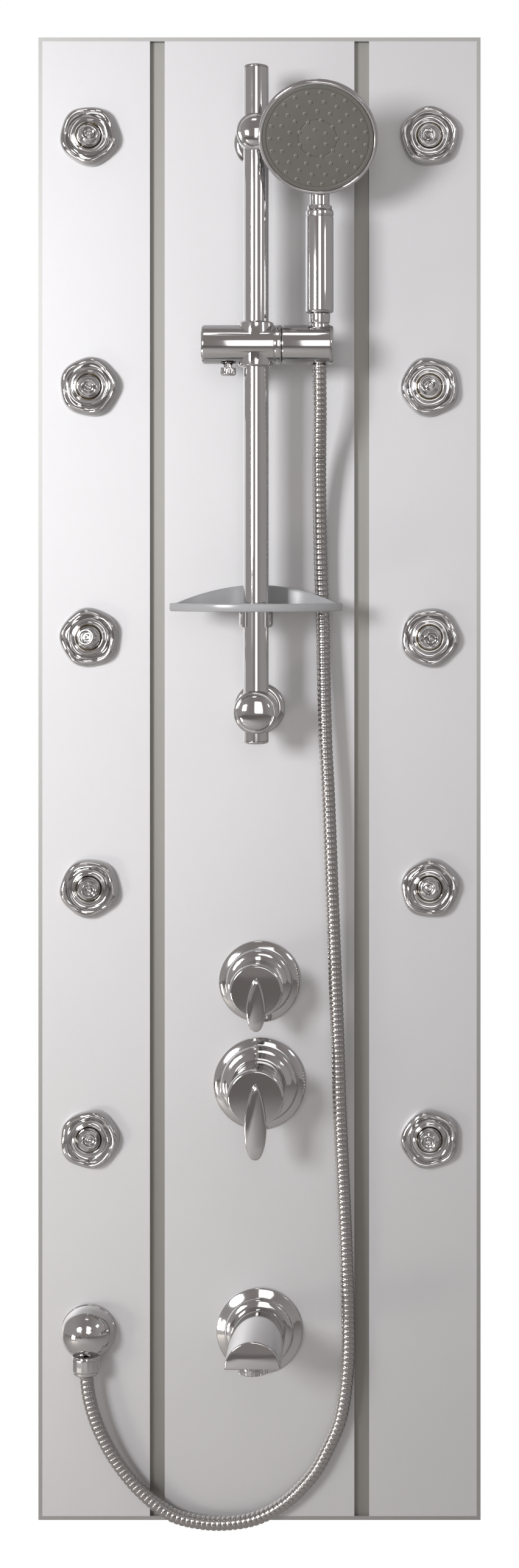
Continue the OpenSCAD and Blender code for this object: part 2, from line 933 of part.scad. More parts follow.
module diverter_valve() {
    color("goldenrod")
        difference() {
            union() {
                valve_body(diverter_z);
                rod_x(valve_y, diverter_z, -cross_arm, cross_arm, feed_r + 2);
                rod_z(0, valve_y, diverter_z, diverter_z - valve_boss, feed_r + 2);
            }
            rod_y(0, diverter_z, front + 12 + eps, front - 30, spindle_r + 2 + fit);
            rod_x(valve_y, diverter_z, -cross_arm - eps, cross_arm + eps, cross_bore);
            rod_z(0, valve_y, diverter_z, diverter_z - valve_boss - eps, cross_bore - 1);
        }
}

// mixer body with a bar to the hot and the cold inlet, which face the wall
module mixer_valve() {
    bore_y = inlet_bar_y - cross_bore - eps;
    color("goldenrod")
        difference() {
            union() {
                valve_body(mixer_z);
                rod_x(inlet_bar_y, mixer_z, -inlet_x, inlet_x, feed_r + 2);
                rod_z(0, valve_y, mixer_z, mixer_z + valve_boss, feed_r + 2);
                for (x = [-inlet_x, inlet_x]) {
                    rod_y(x, mixer_z, channel_back + 1, inlet_y, inlet_r + 2);
                    rod_y(x, mixer_z, inlet_y, inlet_y + inlet_len, inlet_r);
                }
            }
            rod_y(0, mixer_z, front + 12 + eps, front - 30, spindle_r + 2 + fit);
            rod_x(inlet_bar_y, mixer_z, -inlet_x, inlet_x, cross_bore);
            for (x = [-inlet_x, inlet_x])
                rod_y(x, mixer_z, bore_y, inlet_y + inlet_len + eps, cross_bore + 1);
            rod_z(0, valve_y, mixer_z - 2, mixer_z + valve_boss + eps, cross_bore - 1);
        }
}

// ---------------------------------------------------------------- spout

module spout_flange() {
    color("silver")
        difference() {
            union() {
                rod_y(0, outlet_z, front, front - 3, spout_flange_d / 2);
                turned_y(0, outlet_z, front - 3)
                    polygon(dome_points(spout_flange_d / 2 - 3, 9));
            }
            rod_y(0, outlet_z, front + eps, front - 14, pipe_r + gap);
        }
}

// half-round spout with a flat underside
module spout_body() {
    r = spout_d / 2;
    color("silver")
        difference() {
            union() {
                intersection() {
                    rod_y(0, outlet_z, spout_back, spout_front, r);
                    slab([-r - eps, spout_front - eps, outlet_z],
                         [r + eps, spout_back + eps, outlet_z + r + eps]);
                }
                rod_y(0, outlet_z, stub_back, spout_back, pipe_r);
            }
            intersection() {
                rod_y(0, outlet_z, spout_back - spout_wall, spout_front + spout_wall, r - spout_wall);
                slab([-r, spout_front, outlet_z + spout_wall], [r, spout_back, outlet_z + r]);
            }
            rod_y(0, outlet_z + spout_wall, stub_back + eps, spout_back - spout_wall - eps, 5);
            rod_z(0, aerator_y, outlet_z - eps, outlet_z + spout_wall + 2,
                  aerator_d / 2 - spout_wall);
        }
}

// ring with a plate of six holes at its top
module spout_aerator() {
    low = outlet_z - aerator_h;
    color("silver")
        difference() {
            rod_z(0, aerator_y, low, outlet_z, aerator_d / 2);
            rod_z(0, aerator_y, low - eps, outlet_z - 2, aerator_d / 2 - 3);
            for (a = [0 : 60 : 300])
                rod_z(6 * cos(a), aerator_y + 6 * sin(a), outlet_z - 3, outlet_z + eps, 2);
        }
}

// ---------------------------------------------------------------- pipework

// outside of the pipework, or its bore when grown past the open ends;
// the pipes across are thinner, so that they run cleanly into the others
module pipe_run(grow, r) {
    r_across = r - 0.5;
    rod_z(0, valve_y, mixer_z + valve_boss - grow, diverter_z - valve_boss + grow, r);
    for (side = [-1, 1]) {
        rod_x(valve_y, diverter_z, side * (cross_arm - grow), side * (jet_x - boss_len + grow),
              r_across);
        rod_z(side * drop_x, valve_y, diverter_z, outlet_z - r, r);
    }
    rod_x(valve_y, outlet_z, -drop_x, -outlet_x, r_across);
    rod_x(valve_y, outlet_z, 0, drop_x, r_across);
    rod_y(-outlet_x, outlet_z, valve_y + r, stub_back - grow, r);
    rod_y(0, outlet_z, valve_y + r, stub_back - grow, r);
}

// mixer to diverter, diverter to the jets, the spout and the hose outlet
module feed_pipes() {
    color("goldenrod")
        difference() {
            pipe_run(0, feed_r);
            pipe_run(eps, feed_r - pipe_wall);
        }
}

// vertical pipe that feeds the jets of one wing
module jet_manifold(side) {
    x = side * jet_x;
    top = jet_z0 + (jet_rows - 1) * jet_pitch + 16;
    difference() {
        union() {
            rod_z(x, valve_y, jet_z0 - 16, top, manifold_r);
            at_jets(side)
                rod_y(0, 0, valve_y, socket_back, tee_r);
            rod_x(valve_y, diverter_z, side * (jet_x - boss_len), x, feed_r + 1);
        }
        rod_z(x, valve_y, jet_z0 - 13, top - 3, manifold_r - 2);
        at_jets(side)
            rod_y(0, 0, valve_y, socket_back - eps, tee_r - 3);
        rod_x(valve_y, diverter_z, side * (jet_x - boss_len - eps), x, feed_r - pipe_wall);
    }
}

module left_jet_manifold() {
    color("goldenrod")
        jet_manifold(-1);
}

module right_jet_manifold() {
    color("goldenrod")
        jet_manifold(1);
}

// ---------------------------------------------------------------- jets

// round cover with a raised ring, open in the middle for the ball
module jet_roses() {
    r = rose_d / 2;
    color("silver")
        at_jets()
            turned_y(0, 0, front)
                polygon([
                    [socket_r, 0], [r, 0], [r, 2], [r - 3, 5], [r - 8, 8], [r - 11, rose_t],
                    [r - 15, rose_t], [r - 17, 9], [socket_r, 7]
                ]);
}

// seat of the ball, held in the panel, with its waterway to the manifold
module jet_sockets() {
    color("goldenrod")
        at_jets()
            difference() {
                union() {
                    rod_y(0, 0, front - 6, back, socket_r - fit);
                    rod_y(0, 0, back, back + 4, socket_r + 4);
                    rod_y(0, 0, back + 4, socket_back, tee_r);
                }
                translate([0, ball_y, 0])
                    sphere(r = ball_r + seat);
                rod_y(0, 0, ball_y, socket_back + eps, tee_r - 3);
            }
}

// ball nozzle with a flat outlet face, aimed by its number
module jet_ball(i) {
    x = i < jet_rows ? -jet_x : jet_x;
    z = jet_z0 + (i % jet_rows) * jet_pitch;
    steps = 14;
    mouth = acos((ball_r - ball_flat) / ball_r);
    translate([x, ball_y, z])
        rotate([90 + JET_AIM[i][0], 0, JET_AIM[i][1]])
            rotate_extrude()
                polygon(concat(
                    [[ball_r - 6, -ball_r * 0.5], [0, -ball_r * 0.5], [0, -ball_r]],
                    [for (k = [1 : steps])
                        let (a = -90 + (180 - mouth) * k / steps)
                        [ball_r * cos(a), ball_r * sin(a)]],
                    [[ball_r - 6, ball_r - ball_flat]]
                ));
}

module jet_ball_1() { color("silver") jet_ball(0); }
module jet_ball_2() { color("silver") jet_ball(1); }
module jet_ball_3() { color("silver") jet_ball(2); }
module jet_ball_4() { color("silver") jet_ball(3); }
module jet_ball_5() { color("silver") jet_ball(4); }
module jet_ball_6() { color("silver") jet_ball(5); }
module jet_ball_7() { color("silver") jet_ball(6); }
module jet_ball_8() { color("silver") jet_ball(7); }
module jet_ball_9() { color("silver") jet_ball(8); }
module jet_ball_10() { color("silver") jet_ball(9); }

centre_panel();
left_wing_panel();
right_wing_panel();
left_groove_channel();
right_groove_channel();
left_side_profile();
right_side_profile();
top_cap();
bottom_cap();
upper_wall_bracket();
lower_wall_bracket();
panel_hangers();
channel_screws();
rail_tube();
rail_end_plugs();
upper_rail_bracket();
lower_rail_bracket();
rail_bracket_flanges();
rail_bracket_nuts();
slider_body();
slider_button();
slider_spring();
handset_holder();
handset_head();
handset_grip();
handset_face();
handset_nozzles();
hose_cone_nut();
shower_hose();
hose_outlet_nut();
hose_outlet();
hose_outlet_nut_ring();
soap_dish();
soap_dish_clamp();
diverter_cover();
diverter_knob();
diverter_spindle();
diverter_valve();
mixer_cover();
mixer_knob();
mixer_spindle();
mixer_valve();
spout_flange();
spout_body();
spout_aerator();
feed_pipes();
left_jet_manifold();
right_jet_manifold();
jet_roses();
jet_sockets();
jet_ball_1();
jet_ball_2();
jet_ball_3();
jet_ball_4();
jet_ball_5();
jet_ball_6();
jet_ball_7();
jet_ball_8();
jet_ball_9();
jet_ball_10();
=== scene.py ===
import json
import math

import bmesh
import bpy
from bpy.props import FloatProperty, FloatVectorProperty, IntProperty, PointerProperty
from mathutils import Matrix, Vector


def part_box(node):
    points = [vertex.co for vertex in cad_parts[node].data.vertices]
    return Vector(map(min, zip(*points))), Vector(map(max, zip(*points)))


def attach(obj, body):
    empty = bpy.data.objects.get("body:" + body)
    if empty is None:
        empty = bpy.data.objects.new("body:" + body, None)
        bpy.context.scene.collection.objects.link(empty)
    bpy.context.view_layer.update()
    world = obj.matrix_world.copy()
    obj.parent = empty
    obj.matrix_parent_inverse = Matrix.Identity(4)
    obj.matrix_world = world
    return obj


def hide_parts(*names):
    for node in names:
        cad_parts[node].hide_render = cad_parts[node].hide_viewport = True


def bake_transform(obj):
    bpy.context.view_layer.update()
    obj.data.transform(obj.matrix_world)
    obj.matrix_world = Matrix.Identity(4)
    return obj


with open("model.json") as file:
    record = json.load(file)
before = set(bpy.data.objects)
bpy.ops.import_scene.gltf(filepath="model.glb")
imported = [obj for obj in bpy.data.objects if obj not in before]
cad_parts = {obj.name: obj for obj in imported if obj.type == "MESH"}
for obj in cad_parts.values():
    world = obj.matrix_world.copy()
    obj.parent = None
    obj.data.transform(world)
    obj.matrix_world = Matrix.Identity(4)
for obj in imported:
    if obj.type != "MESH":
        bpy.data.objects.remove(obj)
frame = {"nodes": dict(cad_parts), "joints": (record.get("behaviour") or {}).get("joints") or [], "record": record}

bl_info = {
    "name": "Shower Column",
    "version": (1, 0, 0),
    "blender": (4, 5, 0),
    "location": "View3D > Sidebar > Shower",
    "description": "Finishes and detailed pieces of a wall-hung shower column",
    "category": "Add Mesh",
}

MM = 0.001
TURN = 2 * math.pi
AXIS = 0.3  # a closed turned outline ends this close to its axis, in millimetres
RAIL_GAP = 0.15  # between the rail and what slides on it, in millimetres
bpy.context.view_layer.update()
BODY_OF = {node: body for body, nodes in frame["record"]["behaviour"]["bodies"].items()
           for node in nodes}
SLOT_OF = {part["node"]: part["material_slot"] for part in frame["record"]["subparts"]}

# The hose's route, from the hand shower down and round to its outlet, in millimetres
HOSE_ROUTE = [
    (63, -107, 423), (63, -107, 405), (63, -99, 370), (62, -80, 320), (62, -70, 270),
    (63, -66, 215), (65, -67, 160), (66, -70, 110), (68, -75, 40), (71, -77, -20), (74, -77, -100),
    (77, -74, -180), (80, -71, -260), (82, -68, -330), (85, -66, -400), (88, -64, -470),
    (90, -62, -535), (90, -61, -590), (83, -60, -645), (67, -60, -684), (52, -60, -708),
    (28, -60, -732), (0, -60, -748), (-30, -60, -754), (-60, -60, -753), (-90, -61, -744),
    (-120, -62, -720), (-145, -64, -688), (-162, -66, -655), (-171, -67, -625), (-174, -68, -601),
]


# ---- sizes that a user may change

class ShowerHose(bpy.types.PropertyGroup):
    """Sizes of the ribbed hose"""
    diameter: FloatProperty(
        name="Diameter", description="Outside of the hose", default=14 * MM, unit="LENGTH")
    pitch: FloatProperty(
        name="Rib Pitch", description="Distance between ribs", default=5.3 * MM, unit="LENGTH")
    groove: FloatProperty(
        name="Groove", description="Depth between ribs", default=0.9 * MM, unit="LENGTH")


class ShowerJets(bpy.types.PropertyGroup):
    """Shape of the body jets"""
    lobes: IntProperty(name="Lobes", description="Soft corners of a rose", default=5, min=3, max=9)
    lobe_depth: FloatProperty(
        name="Lobe Depth", description="How far the corners stand out", default=0.022,
        subtype="FACTOR")
    swirl: FloatProperty(
        name="Swirl", description="Turn of the lobes from rim to seat", default=math.radians(50),
        subtype="ANGLE")


class ShowerHandset(bpy.types.PropertyGroup):
    """Head of the hand shower"""
    tilt: FloatProperty(
        name="Face Tilt", description="How far the face looks down", default=math.radians(30),
        subtype="ANGLE")
    rings: IntProperty(name="Nozzle Rings", description="Rings of nozzles", default=5, min=2, max=7)
    ring_step: FloatProperty(
        name="Ring Step", description="Distance between rings", default=9.4 * MM, unit="LENGTH")
    per_ring: FloatProperty(
        name="Nozzles per Ring", description="Nozzles added with each ring", default=4.6,
        subtype="NONE")


class ShowerDish(bpy.types.PropertyGroup):
    """Soap dish"""
    wall: FloatProperty(
        name="Wall", description="Thickness of the dish", default=2.5 * MM, unit="LENGTH")
    lip: FloatProperty(
        name="Lip Height", description="Height of the front lip", default=8 * MM, unit="LENGTH")


class ShowerKnobs(bpy.types.PropertyGroup):
    """Levers on the knobs"""
    diverter_lever: FloatProperty(
        name="Diverter Lever", description="Greatest width of the diverter's lever",
        default=19 * MM, unit="LENGTH")
    mixer_lever: FloatProperty(
        name="Mixer Lever", description="Greatest width of the mixer's lever",
        default=22 * MM, unit="LENGTH")
    lever_thickness: FloatProperty(
        name="Lever Thickness", description="How far a lever stands out from its knob's face",
        default=6.5 * MM, unit="LENGTH")


class ShowerStage(bpy.types.PropertyGroup):
    """Camera and light"""
    eye: FloatVectorProperty(
        name="Eye", description="Where the camera stands", default=(0.145, -2.45, 0.227),
        subtype="TRANSLATION")
    lens: FloatProperty(
        name="Lens", description="Focal length in millimetres", default=54.1, subtype="NONE")
    key_power: FloatProperty(
        name="Key Power", description="Power of the key light", default=94.0, unit="POWER")


# ---- small tools

def linear(hex_colour):
    """sRGB hex to the linear colour that the shaders take"""
    parts = [int(hex_colour[i:i + 2], 16) / 255 for i in (1, 3, 5)]
    return (*[c / 12.92 if c <= 0.04045 else ((c + 0.055) / 1.055) ** 2.4 for c in parts], 1.0)


def add(tree, kind, settings=(), **links):
    """A node with its settings (attributes or input values) and its incoming links"""
    node = tree.nodes.new(kind)
    for name, value in dict(settings).items():
        if hasattr(node, name):
            setattr(node, name, value)
        else:
            node.inputs[name].default_value = value
    for name, source in links.items():
        tree.links.new(source, node.inputs[name.replace("_", " ")])
    return node


def new_material(name):
    """An empty node material and its tree"""
    made = bpy.data.materials.new(name)
    made.use_nodes = True
    made.node_tree.nodes.clear()
    return made, made.node_tree


def finish_material(made, settings, **links):
    """Gives a material its shader, with these settings and links"""
    shader = add(made.node_tree, "ShaderNodeBsdfPrincipled", settings, **links)
    add(made.node_tree, "ShaderNodeOutputMaterial", Surface=shader.outputs[0])
    return made


def lerp_colour(tree, factor, low, high):
    """A colour that follows a pattern between two hex colours"""
    ramp = add(tree, "ShaderNodeValToRGB", Fac=factor)
    ramp.color_ramp.elements[0].color = linear(low)
    ramp.color_ramp.elements[1].color = linear(high)
    return ramp.outputs["Color"]


def varied(tree, source, low, high):
    """A number that follows a pattern between two values"""
    spread = add(tree, "ShaderNodeMapRange", {"To Min": low, "To Max": high}, Value=source)
    return spread.outputs["Result"]


def own_space(tree):
    """Coordinates that stay with the piece when it moves"""
    return add(tree, "ShaderNodeTexCoord").outputs["Object"]


def noise(tree, scale, detail):
    """A cloudy pattern with this many patches in a metre"""
    cloud = add(tree, "ShaderNodeTexNoise", {"Scale": scale, "Detail": detail},
                Vector=own_space(tree))
    return cloud.outputs["Fac"]


def bumped(tree, height, strength, depth):
    """The normal of a surface that a pattern raises, by the depth in metres"""
    bump = add(tree, "ShaderNodeBump", {"Strength": strength, "Distance": depth}, Height=height)
    return bump.outputs["Normal"]


# ---- materials

def bead_blasted_aluminium(name, low, high, roughness):
    """Anodised aluminium sheet, bead blasted: a broad soft sheen with a very fine grain."""
    made, tree = new_material(name)
    grain_mm = 0.8  # real grit is finer; this is as coarse as it needs to be to show
    grain = noise(tree, 1 / (grain_mm * MM), 2.0)
    cloud = noise(tree, 3.0, 3.0)
    return finish_material(
        made, {"Metallic": 1.0},
        Base_Color=lerp_colour(tree, cloud, low, high),
        Roughness=varied(tree, grain, roughness - 0.04, roughness + 0.04),
        Normal=bumped(tree, grain, 0.04, 0.05 * MM))


def polished_chrome(name="polished_chrome", colour="#c9c8c8", roughness=0.07):
    """Nickel-chrome plate on brass: a near mirror with the faint wave of the polishing wheel."""
    made, tree = new_material(name)
    wave_mm = 14
    wave = noise(tree, 1 / (wave_mm * MM), 1.0)
    smear = noise(tree, 60.0, 4.0)
    return finish_material(
        made, {"Metallic": 1.0, "Base Color": linear(colour)},
        Roughness=varied(tree, smear, roughness * 0.6, roughness * 1.6),
        Normal=bumped(tree, wave, 0.06, 0.3 * MM))


def machined_brass():
    """Turned brass of the valves and fittings: warm metal with stains and an uneven gloss."""
    made, tree = new_material("machined_brass")
    return finish_material(
        made, {"Metallic": 1.0},
        Base_Color=lerp_colour(tree, noise(tree, 25.0, 4.0), "#9c7a3c", "#c8a65a"),
        Roughness=varied(tree, noise(tree, 400.0, 2.0), 0.25, 0.42))


def zinc_plated_steel():
    """Pressed steel, zinc plated: grey with a faint crystal cloud."""
    made, tree = new_material("zinc_plated_steel")
    spangle_mm = 6
    spangle = add(tree, "ShaderNodeTexVoronoi", {"Scale": 1 / (spangle_mm * MM)},
                  Vector=own_space(tree))
    return finish_material(
        made, {"Metallic": 1.0},
        Base_Color=lerp_colour(tree, spangle.outputs["Color"], "#8d9093", "#b0b3b6"),
        Roughness=varied(tree, spangle.outputs["Distance"], 0.35, 0.5))


def smoke_acrylic():
    """Moulded smoke-grey acrylic, frosted on its back: dim see-through grey."""
    made, tree = new_material("smoke_acrylic")
    haze = noise(tree, 40.0, 3.0)
    return finish_material(
        made, {"IOR": 1.49, "Transmission Weight": 0.35},
        Base_Color=lerp_colour(tree, haze, "#b6b7b9", "#c2c3c5"),
        Roughness=varied(tree, haze, 0.18, 0.3))


def satin_abs(name, low, high, roughness):
    """Moulded plastic with a fine spark-eroded texture: soft, even gloss."""
    made, tree = new_material(name)
    spark_mm = 0.6
    spark = noise(tree, 1 / (spark_mm * MM), 2.0)
    cloud = noise(tree, 30.0, 2.0)
    return finish_material(
        made, {"IOR": 1.53},
        Base_Color=lerp_colour(tree, cloud, low, high),
        Roughness=varied(tree, spark, roughness - 0.05, roughness + 0.05),
        Normal=bumped(tree, spark, 0.15, 0.05 * MM))


MAKERS = {
    "panel_aluminium": lambda: bead_blasted_aluminium(
        "satin_anodised_aluminium", "#c9c9ca", "#d2d2d3", 0.6),
    "groove_aluminium": lambda: bead_blasted_aluminium(
        "grey_anodised_aluminium", "#94938e", "#9b9a95", 0.5),
    "edge_aluminium": lambda: bead_blasted_aluminium(
        "edge_anodised_aluminium", "#a8a8a6", "#b2b2b0", 0.45),
    "bracket_steel": zinc_plated_steel,
    "chrome": polished_chrome,
    "chromed_plastic": lambda: polished_chrome("chromed_abs", "#c6c5c6", 0.08),
    "hose_steel": lambda: polished_chrome("interlocked_steel_hose", "#aeaba9", 0.2),
    "face_plastic": lambda: satin_abs("grey_abs", "#5f5e5a", "#67665f", 0.4),
    "nozzle_rubber": lambda: satin_abs("grey_silicone", "#77766f", "#83827b", 0.55),
    "dish_plastic": smoke_acrylic,
    "brass": machined_brass,
}
FINISHES = {}


def finish(slot):
    """The material of one of the record's slots, made on first use"""
    if slot not in FINISHES:
        FINISHES[slot] = MAKERS[slot]()
    return FINISHES[slot]


# ---- mesh tools

def mesh_object(name, bm, coat, crease=35):
    """A new object from a bmesh, with its faces turned outwards and its sharp edges kept"""
    bmesh.ops.recalc_face_normals(bm, faces=bm.faces)
    mesh = bpy.data.meshes.new(name)
    bm.to_mesh(mesh)
    bm.free()
    mesh.shade_smooth()
    mesh.set_sharp_from_angle(angle=math.radians(crease))
    mesh.materials.append(coat)
    made = bpy.data.objects.new(name, mesh)
    bpy.context.collection.objects.link(made)
    return made


def stands_for(piece, node):
    """The piece takes the place and the body of a node"""
    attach(piece, BODY_OF[node])
    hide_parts(node)
    return piece


def loft(bm, rings, hoop=False):
    """Skins closed rings of equal length. Its ends are capped, but a hoop joins the last ring
    to the first."""
    rows = [[bm.verts.new(p) for p in ring] for ring in rings]
    count = len(rows[0])
    pairs = list(zip(rows, rows[1:])) + ([(rows[-1], rows[0])] if hoop else [])
    for low, high in pairs:
        for i in range(count):
            j = (i + 1) % count
            bm.faces.new((low[i], low[j], high[j], high[i]))
    if not hoop:
        bm.faces.new(rows[0])
        bm.faces.new(list(reversed(rows[-1])))


def turned(bm, place, outline, steps=96, bend=None, soften=0.5):
    """A turned shape round local Z, hollow unless its outline ends at the axis. The outline is
    (radius, height) in millimetres, with its corners softened; bend may change a point's
    radius and height by its angle."""
    rings = []
    for radius, height in rounded(outline, soften):
        ring = []
        for k in range(steps):
            angle = TURN * k / steps
            r, h = bend(radius, height, angle) if bend else (radius, height)
            ring.append(place @ Vector((r * math.cos(angle) * MM, r * math.sin(angle) * MM,
                                        h * MM)))
        rings.append(ring)
    loft(bm, rings, hoop=outline[-1][0] > AXIS)


def turned_piece(name, place, outline, coat, **options):
    """A new object of a turned shape"""
    bm = bmesh.new()
    turned(bm, place, outline, **options)
    return mesh_object(name, bm, coat)


def part(name, node, bm):
    """A piece with the finish of the node that it stands for"""
    return stands_for(mesh_object(name, bm, finish(SLOT_OF[node])), node)


def turned_part(name, node, place, outline, **options):
    """A part of a turned shape"""
    bm = bmesh.new()
    turned(bm, place, outline, **options)
    return part(name, node, bm)


def rounded(outline, radius, steps=3):
    """The same outline with its corners rounded off, less so where its sides are short"""
    most, least = 0.45, 0.05  # cut off, as a share of a side and in millimetres
    out = [outline[0]]
    for before, here, after in zip(outline, outline[1:], outline[2:]):
        a, b, c = (Vector((*p, 0)) for p in (before, here, after))
        cut = min(radius, (a - b).length * most, (c - b).length * most)
        if cut < least:
            out.append(here)
            continue
        start = b + (a - b).normalized() * cut
        end = b + (c - b).normalized() * cut
        for k in range(steps + 1):
            t = k / steps
            point = start * (1 - t) ** 2 + b * 2 * t * (1 - t) + end * t * t
            out.append((point.x, point.y))
    out.append(outline[-1])
    return out


def oval(r, h, base, steps=12):
    """Outline of a dome of radius r and height h above its base, from its rim to its top"""
    quarter = [math.pi / 2 * k / steps for k in range(steps)]
    return [(r * math.cos(a), base + h * math.sin(a)) for a in quarter] + [(AXIS, base + h)]


def stacked(bm, place, levels):
    """Skins flat outlines, each given with its height, all in millimetres"""
    loft(bm, [[place @ Vector((x * MM, y * MM, height * MM)) for x, y in outline]
              for outline, height in levels])


def inset(outline, distance):
    """A closed outline shrunk about its middle, by the distance on every side"""
    low = [min(p[k] for p in outline) for k in (0, 1)]
    high = [max(p[k] for p in outline) for k in (0, 1)]
    centre = [(a + b) / 2 for a, b in zip(low, high)]
    return [tuple(centre[k] + (p[k] - centre[k]) * (1 - 2 * distance / (high[k] - low[k]))
                  for k in (0, 1)) for p in outline]


def standing(x, y, z, degrees=0, axis="X"):
    """A place whose local Z is up, or turned from there about an axis"""
    return Matrix.Translation((x, y, z)) @ Matrix.Rotation(math.radians(degrees), 4, axis)


def out_of_wall(x, y, z):
    """Local Z points out of the wall, local Y up"""
    return standing(x, y, z, 90)


def along_x(x, y, z):
    """Local Z points to the right"""
    return standing(x, y, z, 90, "Y")


def middle(node):
    """Middle of a node's box"""
    low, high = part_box(node)
    return (low + high) / 2


def round_size(node, axis="z"):
    """Radius of a round node and its length along an axis, in millimetres"""
    low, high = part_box(node)
    return (high.x - low.x) / 2 / MM, (getattr(high, axis) - getattr(low, axis)) / MM


def on_back(node):
    """Out of the wall from the middle of a node's back"""
    centre = middle(node)
    return out_of_wall(centre.x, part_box(node)[1].y, centre.z)


def on_foot(node):
    """Upright from the middle of a node's foot"""
    centre = middle(node)
    return standing(centre.x, centre.y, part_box(node)[0].z)


def fused(made, add=(), cut=()):
    """Fuses closed pieces into one, cuts others out of it, and removes them all"""
    for operation, others in (("UNION", add), ("DIFFERENCE", cut)):
        for other in others:
            step = made.modifiers.new(operation, "BOOLEAN")
            step.operation = operation
            step.solver = "EXACT"
            step.object = other
    bpy.context.view_layer.update()
    whole = made.evaluated_get(bpy.context.evaluated_depsgraph_get())
    mesh = bpy.data.meshes.new_from_object(whole)
    made.modifiers.clear()
    made.data = mesh
    mesh.shade_smooth()
    mesh.set_sharp_from_angle(angle=math.radians(30))
    for other in (*add, *cut):
        bpy.data.objects.remove(other)
    return made


# ---- stage

class SHOWER_OT_stage(bpy.types.Operator):
    """Camera, floor, world and lights"""
    bl_idname = "shower.stage"
    bl_label = "Stage"

    def execute(self, context):
        look = context.scene.shower_stage
        sensor_width, picture_middle = 36, -5.4 * MM
        data = bpy.data.cameras.new("camera")
        data.sensor_width = sensor_width
        data.lens = look.lens
        eye = Vector(look.eye)
        view_height = (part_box("centre_panel")[0].y - eye.y) * sensor_width / data.lens
        data.shift_x = -eye.x / view_height
        data.shift_y = (picture_middle - eye.z) / view_height
        camera = bpy.data.objects.new("camera", data)
        camera.location = eye
        camera.rotation_euler = (math.radians(90), 0, 0)
        context.collection.objects.link(camera)
        context.scene.camera = camera

        self.floor()
        self.world(context)
        for light in (
                ("key_light", (-2.0, -3.1, 0.7), (0, 0, -0.05), (0.9, 0.9), look.key_power,
                 "#fdfdff"),
                ("front_window", (0.25, -2.6, 0.6), (0, 0, 0.4), (0.9, 1.5), 7, "#ffffff"),
                ("right_light", (1.7, -1.5, 0.9), (0, 0, 0), (0.4, 0.4), 1.5, "#f4f7ff"),
                ("left_light", (-1.7, -1.2, -0.9), (-0.2, 0, -0.7), (0.4, 0.4), 9, "#fff8ee"),
                ("top_light", (-0.3, -1.5, 2.9), (0, 0, 0.3), (0.7, 0.7), 4, "#ffffff"),
                ("back_light", (1.2, 2.6, 1.2), (0, 0, 0), (1.4, 1.4), 40, "#ffffff")):
            self.lamp(context, *light)
        context.scene.view_settings.view_transform = "Standard"
        return {"FINISHED"}

    def lamp(self, context, name, where, towards, size, power, colour):
        """A rectangular light that faces a point"""
        data = bpy.data.lights.new(name, "AREA")
        data.shape = "RECTANGLE"
        data.size, data.size_y = size
        data.energy = power
        data.color = linear(colour)[:3]
        lamp = bpy.data.objects.new(name, data)
        lamp.location = where
        aim = Vector(towards) - Vector(where)
        lamp.rotation_euler = aim.to_track_quat("-Z", "Y").to_euler()
        context.collection.objects.link(lamp)

    def floor(self):
        """Pale grey floor that ends one metre behind the panel"""
        half = 5.0
        bm = bmesh.new()
        bmesh.ops.create_grid(bm, x_segments=8, y_segments=8, size=half)
        made, tree = new_material("pale_painted_floor")
        finish_material(
            made, {"Roughness": 0.9},
            Base_Color=lerp_colour(tree, noise(tree, 2.0, 3.0), "#bab8b6", "#c0bebc"))
        ground = mesh_object("floor", bm, made)
        ground.location = (0, 1.0 - half, -1.3)

    def world(self, context):
        """White where the camera looks; a room with a dark front and pale sides in reflections"""
        room = bpy.data.worlds.new("room")
        room.use_nodes = True
        tree = room.node_tree
        tree.nodes.clear()
        way = add(tree, "ShaderNodeTexCoord")
        parts = add(tree, "ShaderNodeSeparateXYZ", Vector=way.outputs["Generated"])
        across = add(tree, "ShaderNodeMath", {"operation": "ABSOLUTE"}, Value=parts.outputs["X"])
        side = add(tree, "ShaderNodeMapRange", {"From Min": 0.25, "From Max": 0.8},
                   Value=across.outputs[0])
        shade = lerp_colour(tree, side.outputs[0], "#96908e", "#aeaaa9")
        path = add(tree, "ShaderNodeLightPath")
        dim = add(tree, "ShaderNodeBackground", Color=shade)
        white = add(tree, "ShaderNodeBackground", {"Color": linear("#ffffff")})
        mix = add(tree, "ShaderNodeMixShader", Fac=path.outputs["Is Camera Ray"])
        for socket, shader in zip(mix.inputs[1:], (dim, white)):
            tree.links.new(shader.outputs[0], socket)
        add(tree, "ShaderNodeOutputWorld", Surface=mix.outputs[0])
        context.scene.world = room


# ---- hose

def smooth_route(points, step):
    """Catmull-Rom curve through the points, resampled at an even step, and its length"""
    pts = [Vector(p) for p in points]
    dense, per_span = [], 24
    for i in range(len(pts) - 1):
        p0, p1, p2, p3 = (pts[max(i - 1, 0)], pts[i], pts[i + 1], pts[min(i + 2, len(pts) - 1)])
        for k in range(per_span):
            t = k / per_span
            dense.append(0.5 * (2 * p1 + (p2 - p0) * t + (2 * p0 - 5 * p1 + 4 * p2 - p3) * t * t
                                + (3 * p1 - p0 - 3 * p2 + p3) * t ** 3))
    dense.append(pts[-1])
    lengths = [0.0]
    for a, b in zip(dense, dense[1:]):
        lengths.append(lengths[-1] + (b - a).length)
    count = max(2, round(lengths[-1] / step))
    out, i = [], 0
    for k in range(count + 1):
        goal = lengths[-1] * k / count
        while i < len(lengths) - 2 and lengths[i + 1] < goal:
            i += 1
        span = lengths[i + 1] - lengths[i]
        out.append(dense[i].lerp(dense[i + 1], (goal - lengths[i]) / span if span else 0))
    return out, lengths[-1]


